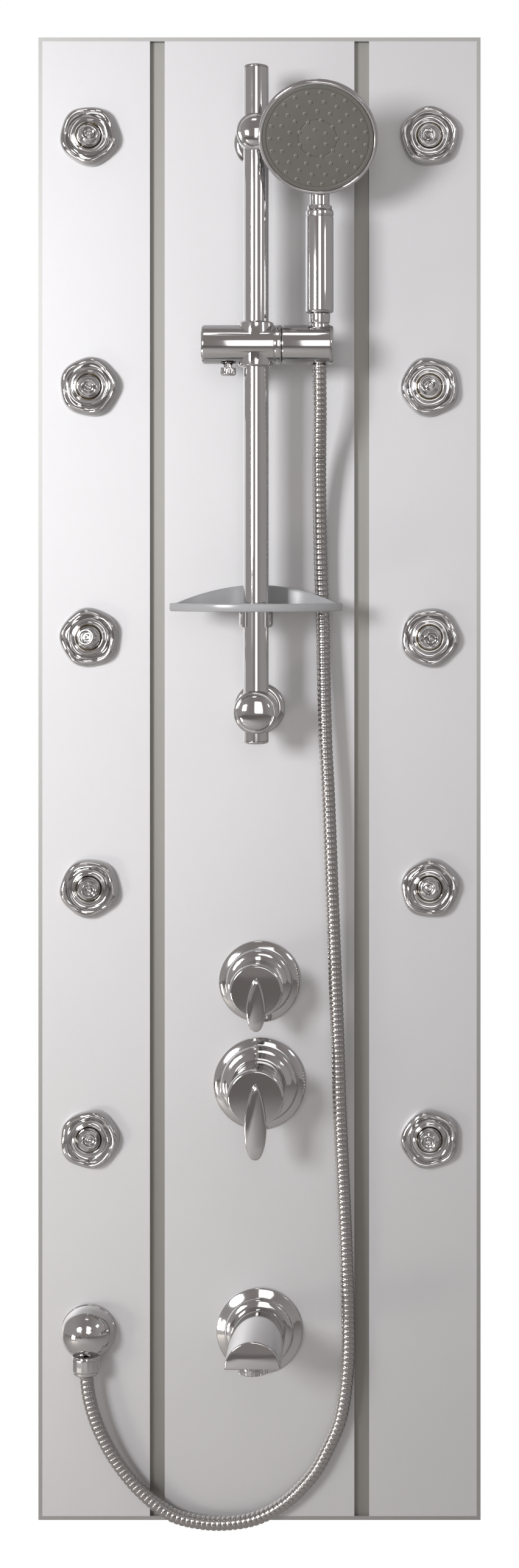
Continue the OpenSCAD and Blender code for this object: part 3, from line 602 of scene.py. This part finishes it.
def tube(bm, path, radius_at, sides=22):
    """Sweeps a circle along a path; radius_at gives each ring's radius in metres"""
    rings = []
    way = (path[1] - path[0]).normalized()
    side = way.orthogonal().normalized()
    for i, point in enumerate(path):
        ahead = path[min(i + 1, len(path) - 1)] - path[max(i - 1, 0)]
        new_way = ahead.normalized()
        side = (way.rotation_difference(new_way) @ side).normalized()
        way = new_way
        other = way.cross(side)
        r = radius_at(i)
        rings.append([point + (side * math.cos(TURN * k / sides)
                               + other * math.sin(TURN * k / sides)) * r for k in range(sides)])
    loft(bm, rings)


class SHOWER_OT_hose(bpy.types.Operator):
    """Ribbed metal hose from the hand shower to the hose outlet, with its nut there"""
    bl_idname = "shower.hose"
    bl_label = "Hose"

    def execute(self, context):
        size = context.scene.shower_hose
        per_rib = 6  # rings of the mesh in each rib
        join_height = 0.325  # the two lengths of the hose meet between two ribs below this
        path, length = smooth_route([[v * MM for v in point] for point in HOSE_ROUTE],
                                    size.pitch / per_rib)
        step = length / (len(path) - 1)
        cut = next(i for i, p in enumerate(path) if p.z < join_height)
        cut -= cut % per_rib

        def ribs(i):
            return size.diameter / 2 - size.groove * max(0.0, math.cos(TURN * i / per_rib)) ** 2

        upper = self.stretch("hose_upper", path[:cut + 1], ribs)
        lower = self.stretch("hose_lower", path[cut:], ribs)
        top = path[0]
        inside = [top + Vector((0, 0, 1 * MM))] + path[:round(12 * MM / step)]
        core = self.stretch("hose_core", inside, lambda i: size.diameter / 2 - 1.8 * MM)
        nut = self.nut()
        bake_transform(lower)
        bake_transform(upper)
        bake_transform(core)
        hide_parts("shower_hose")
        return {"FINISHED"}

    def stretch(self, name, path, radius_at):
        """One length of the hose"""
        bm = bmesh.new()
        tube(bm, path, radius_at)
        return mesh_object(name, bm, finish("hose_steel"), crease=80)

    def nut(self):
        """Nut below the hose outlet, with a knurled band"""
        node = "hose_outlet_nut"
        r, h = round_size(node)
        outline = [(7.2, 0), (r - 4, 0), (r - 1.2, 2.4), (r - 1.2, 5), (r, 6), (r, h - 3),
                   (r - 0.8, h - 0.6), (7.2, h - 0.6)]

        def knurl(radius, height, angle):
            held = 5.5 < height < h - 2.5
            return radius * (1 - (0.02 * (0.5 + 0.5 * math.cos(16 * angle)) if held else 0)), height

        return turned_part("outlet_nut", node, on_foot(node), outline, bend=knurl, steps=128)


# ---- rail

class SHOWER_OT_rail(bpy.types.Operator):
    """Drum brackets of the rail with their wall flanges, and the caps in the rail's ends"""
    bl_idname = "shower.rail"
    bl_label = "Rail"

    def execute(self, context):
        for name in ("upper", "lower"):
            node = f"{name}_rail_bracket"
            self.bracket(node)
            self.flange(f"{name}_bracket_flange", middle(node))
        rail = middle("rail_tube")
        low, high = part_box("rail_tube")
        r, length = round_size("rail_tube")
        turned_part("rail", "rail_tube", standing(rail.x, rail.y, low.z), [
            (r - 1.5, 0), (r - 0.3, 0), (r, 0.3), (r, length - 0.3), (r - 0.3, length),
            (r - 1.5, length)], soften=0)
        self.plug("rail_cap_upper", standing(rail.x, rail.y, high.z), r)
        self.plug("rail_cap_lower", standing(rail.x, rail.y, low.z, 180), r)
        return {"FINISHED"}

    def bracket(self, node):
        """Drum with a waist behind the rail and a dome in front"""
        r, length = round_size(node, "y")
        outline = [(AXIS, 0.2), (r - 2.5, 0.2), (r - 4, 10), (r - 4, 26), (r - 0.8, 36),
                   (r, 42), (r, length - 9), (r - 0.8, length - 7), (r - 2.6, length - 5.4),
                   (r - 3.6, length - 5.4), (r - 4.0, length - 6.2)]
        turned_part(node + "_drum", node, on_back(node),
                    outline + oval(r - 4.2, 6.0, length - 6.0), soften=1.6)

    def flange(self, name, centre):
        """Disc on the panel behind a bracket"""
        node = "rail_bracket_flanges"
        r, t = round_size(node, "y")
        outline = [(AXIS, 0.1), (r, 0.1), (r, 1.4), (r - 1.2, 2.8), (r - 4.5, t), (AXIS, t)]
        turned_part(name, node, out_of_wall(centre.x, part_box(node)[1].y, centre.z), outline,
                    soften=0.9)

    def plug(self, name, place, r):
        """Cap in an end of the rail"""
        turned_part(name, "rail_end_plugs", place, [
            (AXIS, -8), (r - 1.6, -8), (r - 1.6, 0.1), (r, 0.1), (r, 0.8), (r - 0.9, 2.1),
            (r - 3.2, 2.9), (AXIS, 3)], soften=0.8)


# ---- slider and holder

class SHOWER_OT_slider(bpy.types.Operator):
    """Slider with its collar round the rail, its sprung button, and the tilting holder"""
    bl_idname = "shower.slider"
    bl_label = "Slider"

    def execute(self, context):
        rail = middle("rail_tube")
        low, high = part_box("slider_body")
        r = (high.z - low.z) / 2 / MM
        z = (high.z + low.z) / 2
        self.body(rail, low, high, r, z)
        self.button()
        self.spring()
        self.holder(rail, r, z)
        return {"FINISHED"}

    def body(self, rail, low, high, r, z):
        """Barrel across the rail with a collar round it, bored for rail, pivot and button"""
        chrome = finish("chrome")
        bore = round_size("rail_tube")[0] + RAIL_GAP
        end = (high.x - low.x) / MM - 0.1
        barrel = turned_piece("slider", along_x(low.x, rail.y, z), [
            (AXIS, 0), (r - 2.6, 0), (r - 0.7, 0.9), (r, 2.8), (r, end - 7.4), (r - 0.7, end - 7.0),
            (r - 0.7, end - 6.2), (r + 0.1, end - 5.8), (r + 0.1, end - 1.0), (r - 1.0, end),
            (AXIS, end)], chrome, steps=128)
        collar = turned_piece("collar", standing(rail.x, rail.y, z), [
            (AXIS, -r - 3), (r - 4, -r - 3), (r - 2, -r - 1.6), (r - 1.6, 0), (r - 2, r + 1.6),
            (r - 4, r + 3), (AXIS, r + 3)], chrome, steps=128)
        way = turned_piece("way", standing(rail.x, rail.y, z), [
            (AXIS, -40), (bore, -40), (bore, 40), (AXIS, 40)], chrome, soften=0)
        pivot = turned_piece("pivot", along_x(rail.x, rail.y, z), [
            (AXIS, 15.2), (5.3, 15.2), (5.3, 40), (AXIS, 40)], chrome, soften=0)
        button_x = middle("slider_button").x
        button = turned_piece("button_way", standing(button_x, rail.y, z), [
            (AXIS, -30), (6.2, -30), (6.2, -3.7), (3.3, -3.7), (3.3, 3), (AXIS, 3)],
            chrome, soften=0)
        fused(barrel, add=(collar,), cut=(way, pivot, button))
        stands_for(barrel, "slider_body")

    def button(self):
        """Push button with a ribbed rim, under the slider"""
        node = "slider_button"
        r, h = round_size(node)
        outline = [(AXIS, 0.5), (r - 3, 0.2), (r - 1.2, 0.5), (r, 2.2), (r, 8.3), (r - 3.5, 8.3),
                   (r - 3.5, 14), (2.9, 14), (2.9, h), (AXIS, h)]

        def ribs(radius, height, angle):
            grip = 0.02 * math.cos(18 * angle) if 2.5 < height < 7.8 else 0
            return radius * (1 - grip), height

        turned_part("release_button", node, on_foot(node), outline, bend=ribs, steps=144)

    def spring(self):
        """Coil between slider and button"""
        centre = middle("slider_spring")
        low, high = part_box("slider_spring")
        wire, turns, steps = 0.5 * MM, 5, 24
        r = (high.x - low.x) / 2 - wire
        travel = high.z - low.z - 2 * wire
        count = turns * steps
        path = [Vector((centre.x + r * math.cos(TURN * k / steps),
                        centre.y + r * math.sin(TURN * k / steps),
                        low.z + wire + travel * k / count)) for k in range(count + 1)]
        bm = bmesh.new()
        tube(bm, path, lambda i: wire, sides=10)
        spring = mesh_object("button_spring", bm, finish("bracket_steel"))
        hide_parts("slider_spring")
        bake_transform(spring)

    def holder(self, rail, r, z):
        """Barrel with a pivot pin, bored to a cone for the grip and slotted for the hose"""
        chrome = finish("chrome")
        low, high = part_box("handset_holder")
        seat = middle("handset_grip")
        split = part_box("slider_body")[1].x
        end = (high.x - split) / MM
        barrel = turned_piece("holder", along_x(split, rail.y, z), [
            (AXIS, 0.15), (r - 1.2, 0.15), (r, 1.3), (r, end - 3.0), (r - 0.8, end - 0.9),
            (r - 2.8, end), (AXIS, end)], chrome, steps=128)
        pin = turned_piece("pin", along_x(low.x, rail.y, z), [
            (AXIS, 0), (4.4, 0), (5, 0.6), (5, 14), (AXIS, 14)], chrome, steps=48)
        cone = turned_piece("cone", standing(seat.x, rail.y, z), [
            (AXIS, -30), (9, -30), (9, -14), (11, 31), (AXIS, 31)], chrome, soften=0)
        way_out = [(-8, 0), (8, 0), (8, 30), (-8, 30)]
        bm = bmesh.new()
        stacked(bm, standing(seat.x, rail.y, z), [(way_out, -30), (way_out, 30)])
        fused(barrel, add=(pin,), cut=(cone, mesh_object("slot", bm, chrome)))
        stands_for(barrel, "handset_holder")


# ---- hand shower

class SHOWER_OT_hand_shower(bpy.types.Operator):
    """Chromed head with its bent neck, grip, grey spray face with nozzles, and cone nut"""
    bl_idname = "shower.hand_shower"
    bl_label = "Hand Shower"

    def execute(self, context):
        size = context.scene.shower_handset
        axis = middle("handset_grip")
        face = middle("handset_face")
        tilt = Matrix.Rotation(size.tilt - math.radians(90), 4, "X")
        depth = tilt @ Vector((0, 0, 1))
        seat_depth = 2.25 * MM
        place = Matrix.Translation(face - depth * seat_depth) @ tilt
        plate_r = round_size("handset_face")[0]
        self.head(place, round_size("handset_head")[0], plate_r, axis)
        self.plate(place, plate_r)
        self.nozzles(place, size)
        self.grip()
        self.cone_nut()
        return {"FINISHED"}

    def head(self, place, r, plate_r, axis):
        """Round head with a recess for the plate, and the neck that bends into it"""
        outline = [(AXIS, 4.1), (plate_r + 0.1, 4.1), (plate_r + 0.1, 0.7), (plate_r + 0.8, 0.1),
                   (r - 1.4, 0.1), (r - 0.4, 0.8), (r, 2.2), (r, 5.6), (r - 0.9, 6.3),
                   (r - 0.9, 7.0), (r - 0.3, 7.6), (r - 1.6, 10.6), (r - 5, 14.2), (r - 11, 17.9),
                   (r - 20, 21), (r - 33, 23.2), (AXIS, 24)]
        bm = bmesh.new()
        turned(bm, place, outline, steps=128, soften=1.0)
        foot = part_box("handset_grip")[1].z
        bend = [Vector((axis.x, axis.y - back * MM, foot + up * MM))
                for back, up in ((0, -4), (0, 8), (1, 20), (5, 33), (11, 45))]
        path, _ = smooth_route(bend, 1.5 * MM)
        count = len(path) - 1

        def flare(i):
            return (10 + 4 * max(0.0, i / count - 0.35) ** 1.5) * MM

        tube(bm, path, flare, sides=64)
        part("hand_shower_head", "handset_head", bm)

    def plate(self, place, r):
        """Spray plate with two ring grooves"""
        outline = [(AXIS, 4.0), (r, 4.0), (r, 1.0), (r - 0.6, 0.5), (r - 3.4, 0.5), (r - 3.8, 1.0),
                   (r - 4.4, 1.0), (r - 4.8, 0.5), (19.6, 0.5), (19.2, 1.0), (18.6, 1.0),
                   (18.2, 0.5), (AXIS, 0.2)]
        turned_part("spray_face", "handset_face", place, outline, steps=128, soften=0.15)

    def nozzles(self, place, size):
        """Rings of small nozzles, every second ring half a step on"""
        bm = bmesh.new()
        outline = [(2.1, 0.9), (2.1, 0.4), (1.6, 0.1), (1.3, -0.7), (0.9, -0.8), (0.6, -0.8),
                   (0.5, 0.2)]
        for ring in range(1, size.rings + 1):
            count = round(size.per_ring * ring)
            for k in range(count):
                angle = TURN * (k + 0.5 * (ring % 2)) / count
                r = size.ring_step * ring
                here = place @ Matrix.Translation((r * math.cos(angle), r * math.sin(angle), 0))
                turned(bm, here, outline, steps=14, soften=0.2)
        part("spray_nozzles", "handset_nozzles", bm)

    def grip(self):
        """Straight grip with a groove near its top"""
        node = "handset_grip"
        r, h = round_size(node)
        outline = [(AXIS, 0.1), (r - 2.4, 0.1), (r - 0.6, 0.9), (r, 2.8), (r, h - 11.4),
                   (r - 0.7, h - 11.0), (r - 0.7, h - 10.2), (r, h - 9.8), (r, h - 6),
                   (r - 1.0, h - 4.4), (r - 1.6, h - 4.2), (r - 1.6, h - 0.8), (r - 2.2, h - 0.1),
                   (AXIS, h - 0.1)]
        turned_part("hand_grip", node, on_foot(node), outline)

    def cone_nut(self):
        """Nut that tapers down to the hose"""
        node = "hose_cone_nut"
        r, h = round_size(node)
        foot = r - 2
        outline = [(6.0, 0), (foot - 1, 0), (foot, 1.2), (foot + 0.7, h * 0.4),
                   (r - 0.5, h - 11), (r - 1.3, h - 10.5), (r - 1.3, h - 9.9), (r - 0.4, h - 9.5),
                   (r, h - 1), (r - 0.6, h), (6.0, h)]
        turned_part("cone_nut", node, on_foot(node), outline, soften=0.4)


# ---- soap dish

class SHOWER_OT_soap_dish(bpy.types.Operator):
    """Lens-shaped dish whose back wall rises in an arc, on a clip round the rail"""
    bl_idname = "shower.soap_dish"
    bl_label = "Soap Dish"

    def execute(self, context):
        size = context.scene.shower_dish
        rail = middle("rail_tube")
        low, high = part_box("soap_dish")
        bore = round_size("rail_tube")[0] + RAIL_GAP
        self.dish(size, rail, low, high, bore)
        self.clip(rail, bore)
        return {"FINISHED"}

    def dish(self, size, rail, low, high, bore):
        """Thin-walled lens with a sleeve for the rail, drain holes and short ribs"""
        width, depth, height = (high - low) / MM
        wall, lip, half = size.wall / MM, size.lip / MM, width / 2
        r = (half ** 2 + (depth / 2) ** 2) / depth
        centre = r - depth / 2  # from the dish's middle to the middle of each side's arc

        def ring(inwards, fraction, floor=0.0):
            """Outline moved inwards, at a share of the wall's height above the floor"""
            small = r - inwards
            reach = math.asin(math.sqrt(small ** 2 - centre ** 2) / small)
            steps = 48
            points = []
            for side in (-1, 1):
                for k in range(steps):
                    a = -reach + 2 * reach * k / steps
                    x, y = small * math.sin(a) * -side, side * (small * math.cos(a) - centre)
                    rise = (height - lip) * max(0.0, 1 - (x / (half * 0.93)) ** 2)
                    top = lip + (rise if side > 0 else 0) * min(1.0, max(0.0, y / 8))
                    z = floor + (top - floor) * fraction
                    points.append(Vector((rail.x + x * MM, rail.y + y * MM, low.z + z * MM)))
            return points

        bm = bmesh.new()
        loft(bm, [ring(1.2, 0), ring(0.3, 0.08), ring(0, 0.25), ring(0, 0.82), ring(0.2, 0.93),
                  ring(0.7, 0.99), ring(wall / 2, 1.0), ring(wall - 0.6, 0.98),
                  ring(wall, 0.86, wall), ring(wall, 0.3, wall), ring(wall + 0.8, 0.06, wall),
                  ring(wall + 2.2, 0, wall)])
        plastic = finish("dish_plastic")
        dish = mesh_object("dish", bm, plastic)
        base = standing(rail.x, rail.y, low.z)
        cutters = [turned_piece("way", base, [(AXIS, -5), (bore, -5), (bore, 30), (AXIS, 30)],
                                plastic, soften=0)]
        for x in (-50, -35, 35, 50):
            drain = base @ Matrix.Translation((x * MM, 0, 0))
            cutters.append(turned_piece("drain", drain, [(AXIS, -5), (3, -5), (3, 5), (AXIS, 5)],
                                        plastic, steps=32, soften=0))
        fused(dish, cut=cutters)
        bm = bmesh.new()
        bm.from_mesh(dish.data)
        turned(bm, base, [(bore, 0.2), (bore + 4, 0.2), (bore + 4, lip - 0.8), (bore + 3, lip),
                          (bore + 0.6, lip), (bore, lip - 0.6)])
        for x in (-62, -56, -44, -29, 29, 44, 56, 62):
            reach = 22 * (1 - (x / half) ** 2) + 4
            rib = base @ Matrix.Translation((x * MM, 0, wall * MM))
            turns = [TURN * (k + 0.5) / 16 for k in range(16)]
            outline = [(0.8 * math.cos(a),
                        reach * math.copysign(abs(math.sin(a)) ** 0.3, math.sin(a)))
                       for a in turns]
            stacked(bm, rib, [(outline, -0.5), (outline, 0.9), (inset(outline, 0.4), 1.3)])
        bm.to_mesh(dish.data)
        bm.free()
        dish.data.shade_smooth()
        dish.data.set_sharp_from_angle(angle=math.radians(35))
        stands_for(dish, "soap_dish")

    def clip(self, rail, bore):
        """Open ring that springs on to the rail under the dish"""
        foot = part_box("soap_dish_clamp")[0].z
        outer, h = round_size("soap_dish_clamp")
        opening = math.radians(52)
        section = rounded([(bore, 2), (bore, h - 0.4), (outer, h - 0.4), (outer, 5),
                           (outer - 1.4, 2), (bore, 2)], 1.0)[:-1]
        steps = 60
        rings = []
        for k in range(steps + 1):
            angle = -math.pi / 2 + opening + (TURN - 2 * opening) * k / steps
            rings.append([Vector((rail.x + rr * MM * math.cos(angle),
                                  rail.y + rr * MM * math.sin(angle), foot + zz * MM))
                          for rr, zz in section])
        bm = bmesh.new()
        loft(bm, rings)
        part("dish_clip", "soap_dish_clamp", bm)


# ---- knobs

def leaf(up, down, width, steps=30):
    """Outline of a lever leaf that hangs down: narrow at its top, widest below its middle"""
    length = up + down
    right = []
    for k in range(steps + 1):
        t = (1 - math.cos(math.pi * k / steps)) / 2
        right.append((width / 2 * max(0.0, math.sin(math.pi * t ** 1.36)) ** 0.4, up - length * t))
    left = [(-x, y) for x, y in reversed(right[1:-1])]
    return list(reversed(right + left))


class SHOWER_OT_knobs(bpy.types.Operator):
    """Stepped covers and turning knobs, each with a leaf-shaped lever on its face"""
    bl_idname = "shower.knobs"
    bl_label = "Knobs"

    def execute(self, context):
        size = context.scene.shower_knobs
        for name, lever_width in (("diverter", size.diverter_lever), ("mixer", size.mixer_lever)):
            centre = middle(f"{name}_cover")
            self.cover(f"{name}_cover")
            self.knob(f"{name}_knob", centre, lever_width / MM, size.lever_thickness / MM)
        return {"FINISHED"}

    def cover(self, node):
        """Stepped ring round a knob"""
        r, h = round_size(node, "y")
        outline = [(15.6, 0.4), (r - 0.4, 0.1), (r, 0.8), (r, 2.4), (r - 0.6, 3.4), (r - 3, 4.8),
                   (r - 6.6, 6.2), (r - 7.6, 6.4), (r - 8.2, 7.8), (r - 9.2, 9.4), (r - 11.5, 10.6),
                   (r - 14, 11.4), (r - 16.5, 13.2), (r - 19, 15.2), (r - 22, h), (15.6, h)]
        turned_part(node + "_shell", node, on_back(node), outline, steps=128, soften=0.8)

    def knob(self, node, centre, lever_width, lever_t):
        """Knob with its lever, which hangs down further than it stands up"""
        low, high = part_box(node)
        r, length = round_size(node, "y")
        face = length - lever_t
        lever_out = (centre.z - low.z) / MM
        up = lever_out * (0.24 if lever_out > 50 else 0.33)  # a long lever sits lower
        place = out_of_wall(centre.x, high.y, centre.z)
        bm = bmesh.new()
        turned(bm, place, [
            (AXIS, 12), (15.5, 12), (15.5, 0), (r - 3.2, 0), (r - 2.4, 1.2), (r - 2.0, face * 0.4),
            (r - 0.6, face * 0.75), (r, face - 4.2), (r, face - 2.6), (r - 0.7, face - 1.0),
            (r - 2.4, face), (AXIS, face)], steps=128)
        outline = leaf(up, lever_out, lever_width)
        stacked(bm, place, [
            (inset(outline, 0.9), face - 4), (outline, face - 3.2), (outline, length - 2.2),
            (inset(outline, 0.3), length - 1.5), (inset(outline, 0.9), length - 0.9),
            (inset(outline, 1.6), length - 0.55)])
        part(node + "_lever", node, bm)


# ---- spout and hose outlet

class SHOWER_OT_spout(bpy.types.Operator):
    """Bath spout of D section on its flange, with its aerator, and the domed hose outlet"""
    bl_idname = "shower.spout"
    bl_label = "Spout and Hose Outlet"

    def execute(self, context):
        self.flange()
        self.body()
        self.aerator()
        self.outlet()
        return {"FINISHED"}

    def flange(self):
        """Stepped flange on the panel"""
        r, h = round_size("spout_flange", "y")
        outline = [(9.6, 0.3), (r - 0.3, 0.1), (r, 0.8), (r, 1.8), (r - 0.8, 2.8), (r - 4.5, 4.4),
                   (r - 9, 6.4), (r - 9.8, 7.6), (r - 11, 9.0), (r - 14, 10.4), (r - 19, 11.6),
                   (r - 25, h), (9.6, h)]
        turned_part("spout_base", "spout_flange", on_back("spout_flange"), outline, steps=128,
                    soften=0.8)

    def body(self):
        """Straight bar of half-round section with its flat side down"""
        low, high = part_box("spout_body")
        r = (high.x - low.x) / 2 / MM
        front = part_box("spout_flange")[0].y
        reach = (front - low.y) / MM
        steps = 48
        arc = [(r * math.cos(a), r * math.sin(a))
               for a in [math.pi * k / steps for k in range(steps + 1)]]
        top = steps // 2
        outline = list(reversed(rounded(arc[top:] + arc[:top + 1], 1.2)[:-1]))
        place = out_of_wall((low.x + high.x) / 2, front, middle("spout_flange").z)
        bm = bmesh.new()
        stacked(bm, place, [
            (outline, -3), (outline, reach - 1.8), (inset(outline, 0.25), reach - 0.9),
            (inset(outline, 0.8), reach - 0.25), (inset(outline, 1.5), reach)])
        part("spout", "spout_body", bm)

    def aerator(self):
        """Notched ring round a stepped middle, under the spout's end"""
        node = "spout_aerator"
        centre = middle(node)
        r, h = round_size(node)
        outline = [(AXIS, 4.2), (2.5, 4.2), (3, 4.6), (6, 4.6), (6.5, 4.2), (9, 4.2), (9.5, 4.6),
                   (r - 3.2, 4.6), (r - 2.7, h - 0.5), (r - 2.2, h), (r - 0.9, h), (r, h - 0.9),
                   (r, 1.2), (r - 0.8, 0.6), (r - 0.8, -1), (AXIS, -1)]

        def notches(radius, height, angle):
            held = radius > r - 0.95 and 1.0 < height < h - 1.0
            return radius - (0.7 if held and math.cos(24 * angle) > 0.4 else 0), height

        turned_part("aerator", node, standing(centre.x, centre.y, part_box(node)[1].z, 180),
                    outline, steps=192, bend=notches, soften=0.3)

    def outlet(self):
        """Dome on the panel, with a groove round its foot"""
        low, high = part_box("hose_outlet")
        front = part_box("left_wing_panel")[0].y
        r = (high.x - low.x) / 2 / MM
        h = (front - low.y) / MM
        outline = [(AXIS, 0.2), (r, 0.2), (r, 2.2), (r - 0.7, 3.4), (r - 1.6, 3.8),
                   (r - 1.6, 4.6)] + oval(r - 1.0, h - 6, 6)
        place = out_of_wall(middle("hose_outlet").x, front, high.z - r * MM)
        turned_part("outlet_dome", "hose_outlet", place, outline, steps=128, soften=0.4)


# ---- jets

# How each ball is aimed at rest: up or down, then left or right, in degrees
JET_AIM = [(-8, 10), (6, 8), (-5, -10), (9, 6), (-7, 9),
           (8, -9), (-6, -8), (7, 10), (-9, -6), (5, -10)]


class SHOWER_OT_jets(bpy.types.Operator):
    """Swirled chrome roses and ball nozzles of the body jets"""
    bl_idname = "shower.jets"
    bl_label = "Body Jets"

    def execute(self, context):
        for number, aim in enumerate(JET_AIM, start=1):
            self.rose(context.scene.shower_jets, number)
            self.ball(number, aim)
        return {"FINISHED"}

    def pivot(self, number):
        """Where a ball turns, in metres"""
        return next(j["pos_m"] for j in frame["joints"] if j["child"] == f"jet_{number}")

    def rose(self, size, number):
        """Ring whose rim has soft lobes that fade and turn towards the seat of the ball"""
        centre = middle(f"jet_ball_{number}")
        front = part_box("centre_panel")[0].y
        phase = number * 1.9
        outline = [(17.7, 0.2), (17.7, 6.1), (12.9, 6.1), (12.9, 7.0), (13.6, 7.9), (15, 7.9),
                   (16.2, 6.8), (18.2, 6.4), (20.4, 7.4), (22.8, 9.8), (25.0, 11.2),
                   (27.0, 10.6), (28.8, 8.4), (29.8, 5.4), (30.2, 2.4), (30.2, 0.2)]

        def swirl(radius, height, angle):
            share = min(1.0, max(0.0, (radius - 16) / 10))
            step = share * math.cos(size.lobes * (angle + size.swirl * share) + phase)
            return (radius * (1 + size.lobe_depth * step),
                    height + 0.8 * step * min(1.0, height / 6))

        turned_part(f"jet_rose_{number}", "jet_roses",
                    out_of_wall(centre.x, front, self.pivot(number)[2]), outline, steps=120,
                    bend=swirl, soften=1.2)

    def ball(self, number, aim):
        """Ball with a flat mouth and a nozzle cone in it"""
        up, across = aim
        place = (Matrix.Translation(self.pivot(number))
                 @ Matrix.Rotation(math.radians(across), 4, "Z")
                 @ Matrix.Rotation(math.radians(90 + up), 4, "X"))
        r = 12.5
        shell = [(r * math.cos(math.radians(a)), r * math.sin(math.radians(a)))
                 for a in range(-60, 49, 6)]
        outline = shell + [(8.2, 9.6), (7.4, 10.5), (6.4, 10.2), (5.4, 7.4), (3.6, 6.6),
                           (2.8, 7.6), (2.2, 8.6), (1.6, 8.6), (1.4, 6.8), (AXIS, 6.4)]
        node = f"jet_ball_{number}"
        turned_part(node + "_nozzle", node, place, outline, steps=64)


# ---- finishes of the other parts

class SHOWER_OT_finishes(bpy.types.Operator):
    """Finishes of the panel and of every part that keeps its own shape"""
    bl_idname = "shower.finishes"
    bl_label = "Finishes"

    def execute(self, context):
        for node, slot in SLOT_OF.items():
            mesh = frame["nodes"][node].data
            mesh.materials.clear()
            mesh.materials.append(finish(slot))
        return {"FINISHED"}


class SHOWER_PT_panel(bpy.types.Panel):
    """Lists the pieces and their sizes"""
    bl_idname = "SHOWER_PT_panel"
    bl_label = "Shower Column"
    bl_space_type = "VIEW_3D"
    bl_region_type = "UI"
    bl_category = "Shower"

    def draw(self, context):
        for name, group in GROUPS.items():
            box = self.layout.box()
            for size in group.__annotations__:
                box.prop(getattr(context.scene, name), size)
        for operator in OPERATORS:
            self.layout.operator(operator.bl_idname)


# ---- add-on

GROUPS = {
    "shower_hose": ShowerHose, "shower_handset": ShowerHandset, "shower_dish": ShowerDish,
    "shower_knobs": ShowerKnobs, "shower_jets": ShowerJets, "shower_stage": ShowerStage,
}
OPERATORS = (
    SHOWER_OT_stage, SHOWER_OT_hose, SHOWER_OT_finishes, SHOWER_OT_rail, SHOWER_OT_slider,
    SHOWER_OT_hand_shower, SHOWER_OT_soap_dish, SHOWER_OT_knobs, SHOWER_OT_spout, SHOWER_OT_jets,
)


def register():
    """Makes the sizes, the operators and the panel known to Blender"""
    for name, group in GROUPS.items():
        bpy.utils.register_class(group)
        setattr(bpy.types.Scene, name, PointerProperty(type=group))
    for item in (*OPERATORS, SHOWER_PT_panel):
        bpy.utils.register_class(item)


def unregister():
    """Takes back what register did"""
    for item in (*reversed(OPERATORS), SHOWER_PT_panel):
        bpy.utils.unregister_class(item)
    for name, group in GROUPS.items():
        delattr(bpy.types.Scene, name)
        bpy.utils.unregister_class(group)


def main():
    """Runs every operator"""
    register()
    for operator in OPERATORS:
        group, name = operator.bl_idname.split(".")
        getattr(getattr(bpy.ops, group), name)()


if __name__ == "__main__":
    main()
